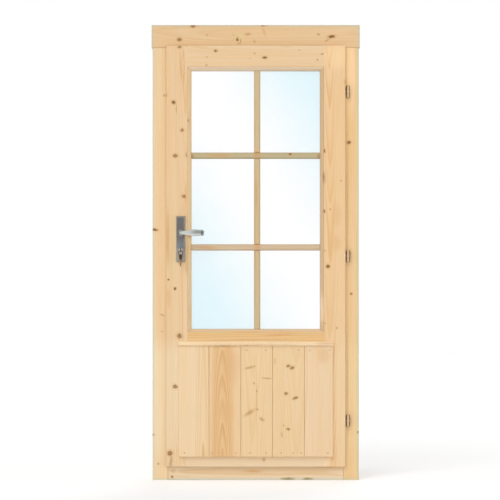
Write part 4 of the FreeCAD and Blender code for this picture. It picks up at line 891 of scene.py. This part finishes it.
def screw(shape, place, facing, radius):
    """A countersunk screw's head with a cross recess."""
    turn = Vector(facing).to_track_quat("Z", "Y").to_matrix()
    spin = Matrix.Rotation(random.uniform(0, math.pi), 3, "Z")
    steps = 24
    recess = [radius * (0.62 if i % 6 in (0, 1, 5) else 0.22) for i in range(steps)]
    rings = [
        ring_of_points(shape, place, turn, radii, height, spin)
        for radii, height in (
            ([radius * 0.96] * steps, -0.0012), ([radius] * steps, -0.0001),
            ([radius * 0.93] * steps, 0.0001), (recess, 0.00015),
            ([reach * 0.8 for reach in recess], -0.0012),
        )
    ]
    for lower, upper in zip(rings, rings[1:]):
        for i in range(steps):
            after = (i + 1) % steps
            shape.faces.new([lower[i], lower[after], upper[after], upper[i]])
    shape.faces.new(rings[-1])


def plate_screws(shape):
    """The two fixing screws of the indoor plate."""
    low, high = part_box("backplate_inside")
    middle = (low[0] + high[0]) / 2
    face_y = low[1] + PLATE_THICKNESS
    for z in (low[2] + SCREW_INSET, high[2] - SCREW_INSET):
        screw(shape, (middle, face_y, z), (0, 1, 0), radius=0.0042)


def edge_screws(node, shape, facing):
    """The two screws of a forend or strike plate, in the middle of the face that looks that way."""
    low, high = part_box(node)
    across = (low[1] + high[1]) / 2
    face_x = low[0] if facing[0] < 0 else high[0]
    for z in (low[2] + SCREW_INSET, high[2] - SCREW_INSET):
        screw(shape, (face_x, across, z), facing, radius=0.0038)


# Floor and world

# The world's strength as light on the object, and the floor's glow where white shows
SKY_LIGHT = 0.33
FLOOR_GLOW = 0.26
# Half the floor's width
FLOOR_REACH = 12.0


def shows_white(tree):
    """1 for rays that show the white behind the object: what camera, metal and glass see."""
    rays = tree.add("ShaderNodeLightPath").outputs
    seen = tree.math("MAXIMUM", rays["Is Glossy Ray"], rays["Is Transmission Ray"])
    return tree.math("MAXIMUM", rays["Is Camera Ray"], seen)


def add_floor():
    material, tree = new_material("pale_floor")
    speckle = tree.fade(tree.noise(tree.place(), 40.0, detail=3.0), 0.3, 0.7, 0.0, 0.04)
    pale = tree.blend(speckle, (0.86, 0.86, 0.86, 1), (0.78, 0.78, 0.78, 1))
    matt = tree.add("ShaderNodeBsdfDiffuse", {"Color": pale}).outputs[0]
    glow = tree.add("ShaderNodeEmission", {
        "Color": (1, 1, 1, 1), "Strength": tree.math("MULTIPLY", shows_white(tree), FLOOR_GLOW),
    }).outputs[0]
    both = tree.add("ShaderNodeAddShader", {0: matt, 1: glow}).outputs[0]
    tree.add("ShaderNodeOutputMaterial", {"Surface": both})
    mesh = bpy.data.meshes.new("floor")
    corners = [
        (x * FLOOR_REACH, y * FLOOR_REACH, 0) for x, y in ((-1, -1), (1, -1), (1, 1), (-1, 1))
    ]
    mesh.from_pydata(corners, [], [(0, 1, 2, 3)])
    mesh.materials.append(material)
    floor = bpy.data.objects.new("floor", mesh)
    bpy.context.scene.collection.objects.link(floor)


def set_world():
    """White behind the object, which metal and glass show too, and plain light on it."""
    world = bpy.data.worlds.new("studio")
    world.use_nodes = True
    tree = Tree(world.node_tree)
    strength = tree.math("MULTIPLY_ADD", shows_white(tree), 1 - SKY_LIGHT, SKY_LIGHT)
    sky = tree.add("ShaderNodeBackground", {"Color": (1, 1, 1, 1), "Strength": strength}).outputs[0]
    tree.add("ShaderNodeOutputWorld", {"Surface": sky})
    bpy.context.scene.world = world


# Scene

add_camera()
for lamp in LAMPS:
    add_lamp(*lamp)

for name, look in WOOD.items():
    set_material(nodes[name], wood(name, marks=MARKS.get(name, ()), **look))
    soften_arrises(nodes[name])
set_material(nodes["glass_pane"], clear_glass())

upper_knuckles = [f"{height}_hinge_leaf_half" for height in ("low", "middle", "high")]
satin = metal(
    "satin_metal", (119, 116, 115), roughness=0.34, streaks=0.2, dirt=0.3,
    brushed=(1.0, 1.0, 0.06), wear_and_painted_light=(painted_plate_reflections, "backplate_outside"),
)
polished = metal(
    "polished_metal", (203, 207, 203), roughness=0.16, streaks=0.06, dirt=0.14,
    brushed=(0.2, 1.0, 1.0), wear_and_painted_light=(painted_lever_reflections, "lever_outside"),
)
zinc = metal(
    "zinc_plate", (216, 186, 144), roughness=0.22, streaks=0.1, dirt=0.25,
    metallic=0.75, wear_and_painted_light=(painted_barrel_shade, upper_knuckles),
)
nickel = metal("nickel_plate", (196, 188, 176), roughness=0.22, streaks=0.08, dirt=0.25)
key_metal = metal("key_metal", (74, 60, 54), roughness=0.3, streaks=0.15, dirt=0.4)
steel = metal(
    "dull_steel", (140, 136, 130), roughness=0.32, streaks=0.15, dirt=0.3,
    brushed=(1.0, 1.0, 0.1),
)
nail_iron = metal("nail_iron", (206, 176, 140), roughness=0.45, streaks=0.1, dirt=0.5)
worn_key = metal(
    "worn_key", (166, 144, 118), roughness=0.3, streaks=0.15, dirt=0.3,
    wear_and_painted_light=(dark_bow, "spare_key"),
)

for material, names in (
    (zinc, [name for name in nodes if "hinge_" in name and name.endswith("_half")]),
    (satin, ("backplate_outside", "backplate_inside")),
    (polished, ("lever_outside", "lever_inside")),
    (steel, ("mortise_lock", "latch_bolt", "dead_bolt", "spindle", "strike_plate")),
    (nickel, ("lock_cylinder",)),
    (key_metal, ("key", "key_ring")),
    (worn_key, ("spare_key",)),
):
    for name in names:
        set_material(nodes[name], material)

add_piece("board_nails", nail_heads, nail_iron, "leaf")
add_piece("plate_screws", plate_screws, steel, "leaf")
add_piece(
    "forend_screws", lambda shape: edge_screws("mortise_lock", shape, (-1, 0, 0)), steel,
    "leaf",
)
add_piece(
    "strike_screws", lambda shape: edge_screws("strike_plate", shape, (1, 0, 0)), steel,
    "frame",
)

add_floor()
set_world()
bpy.context.scene.view_settings.view_transform = "Standard"
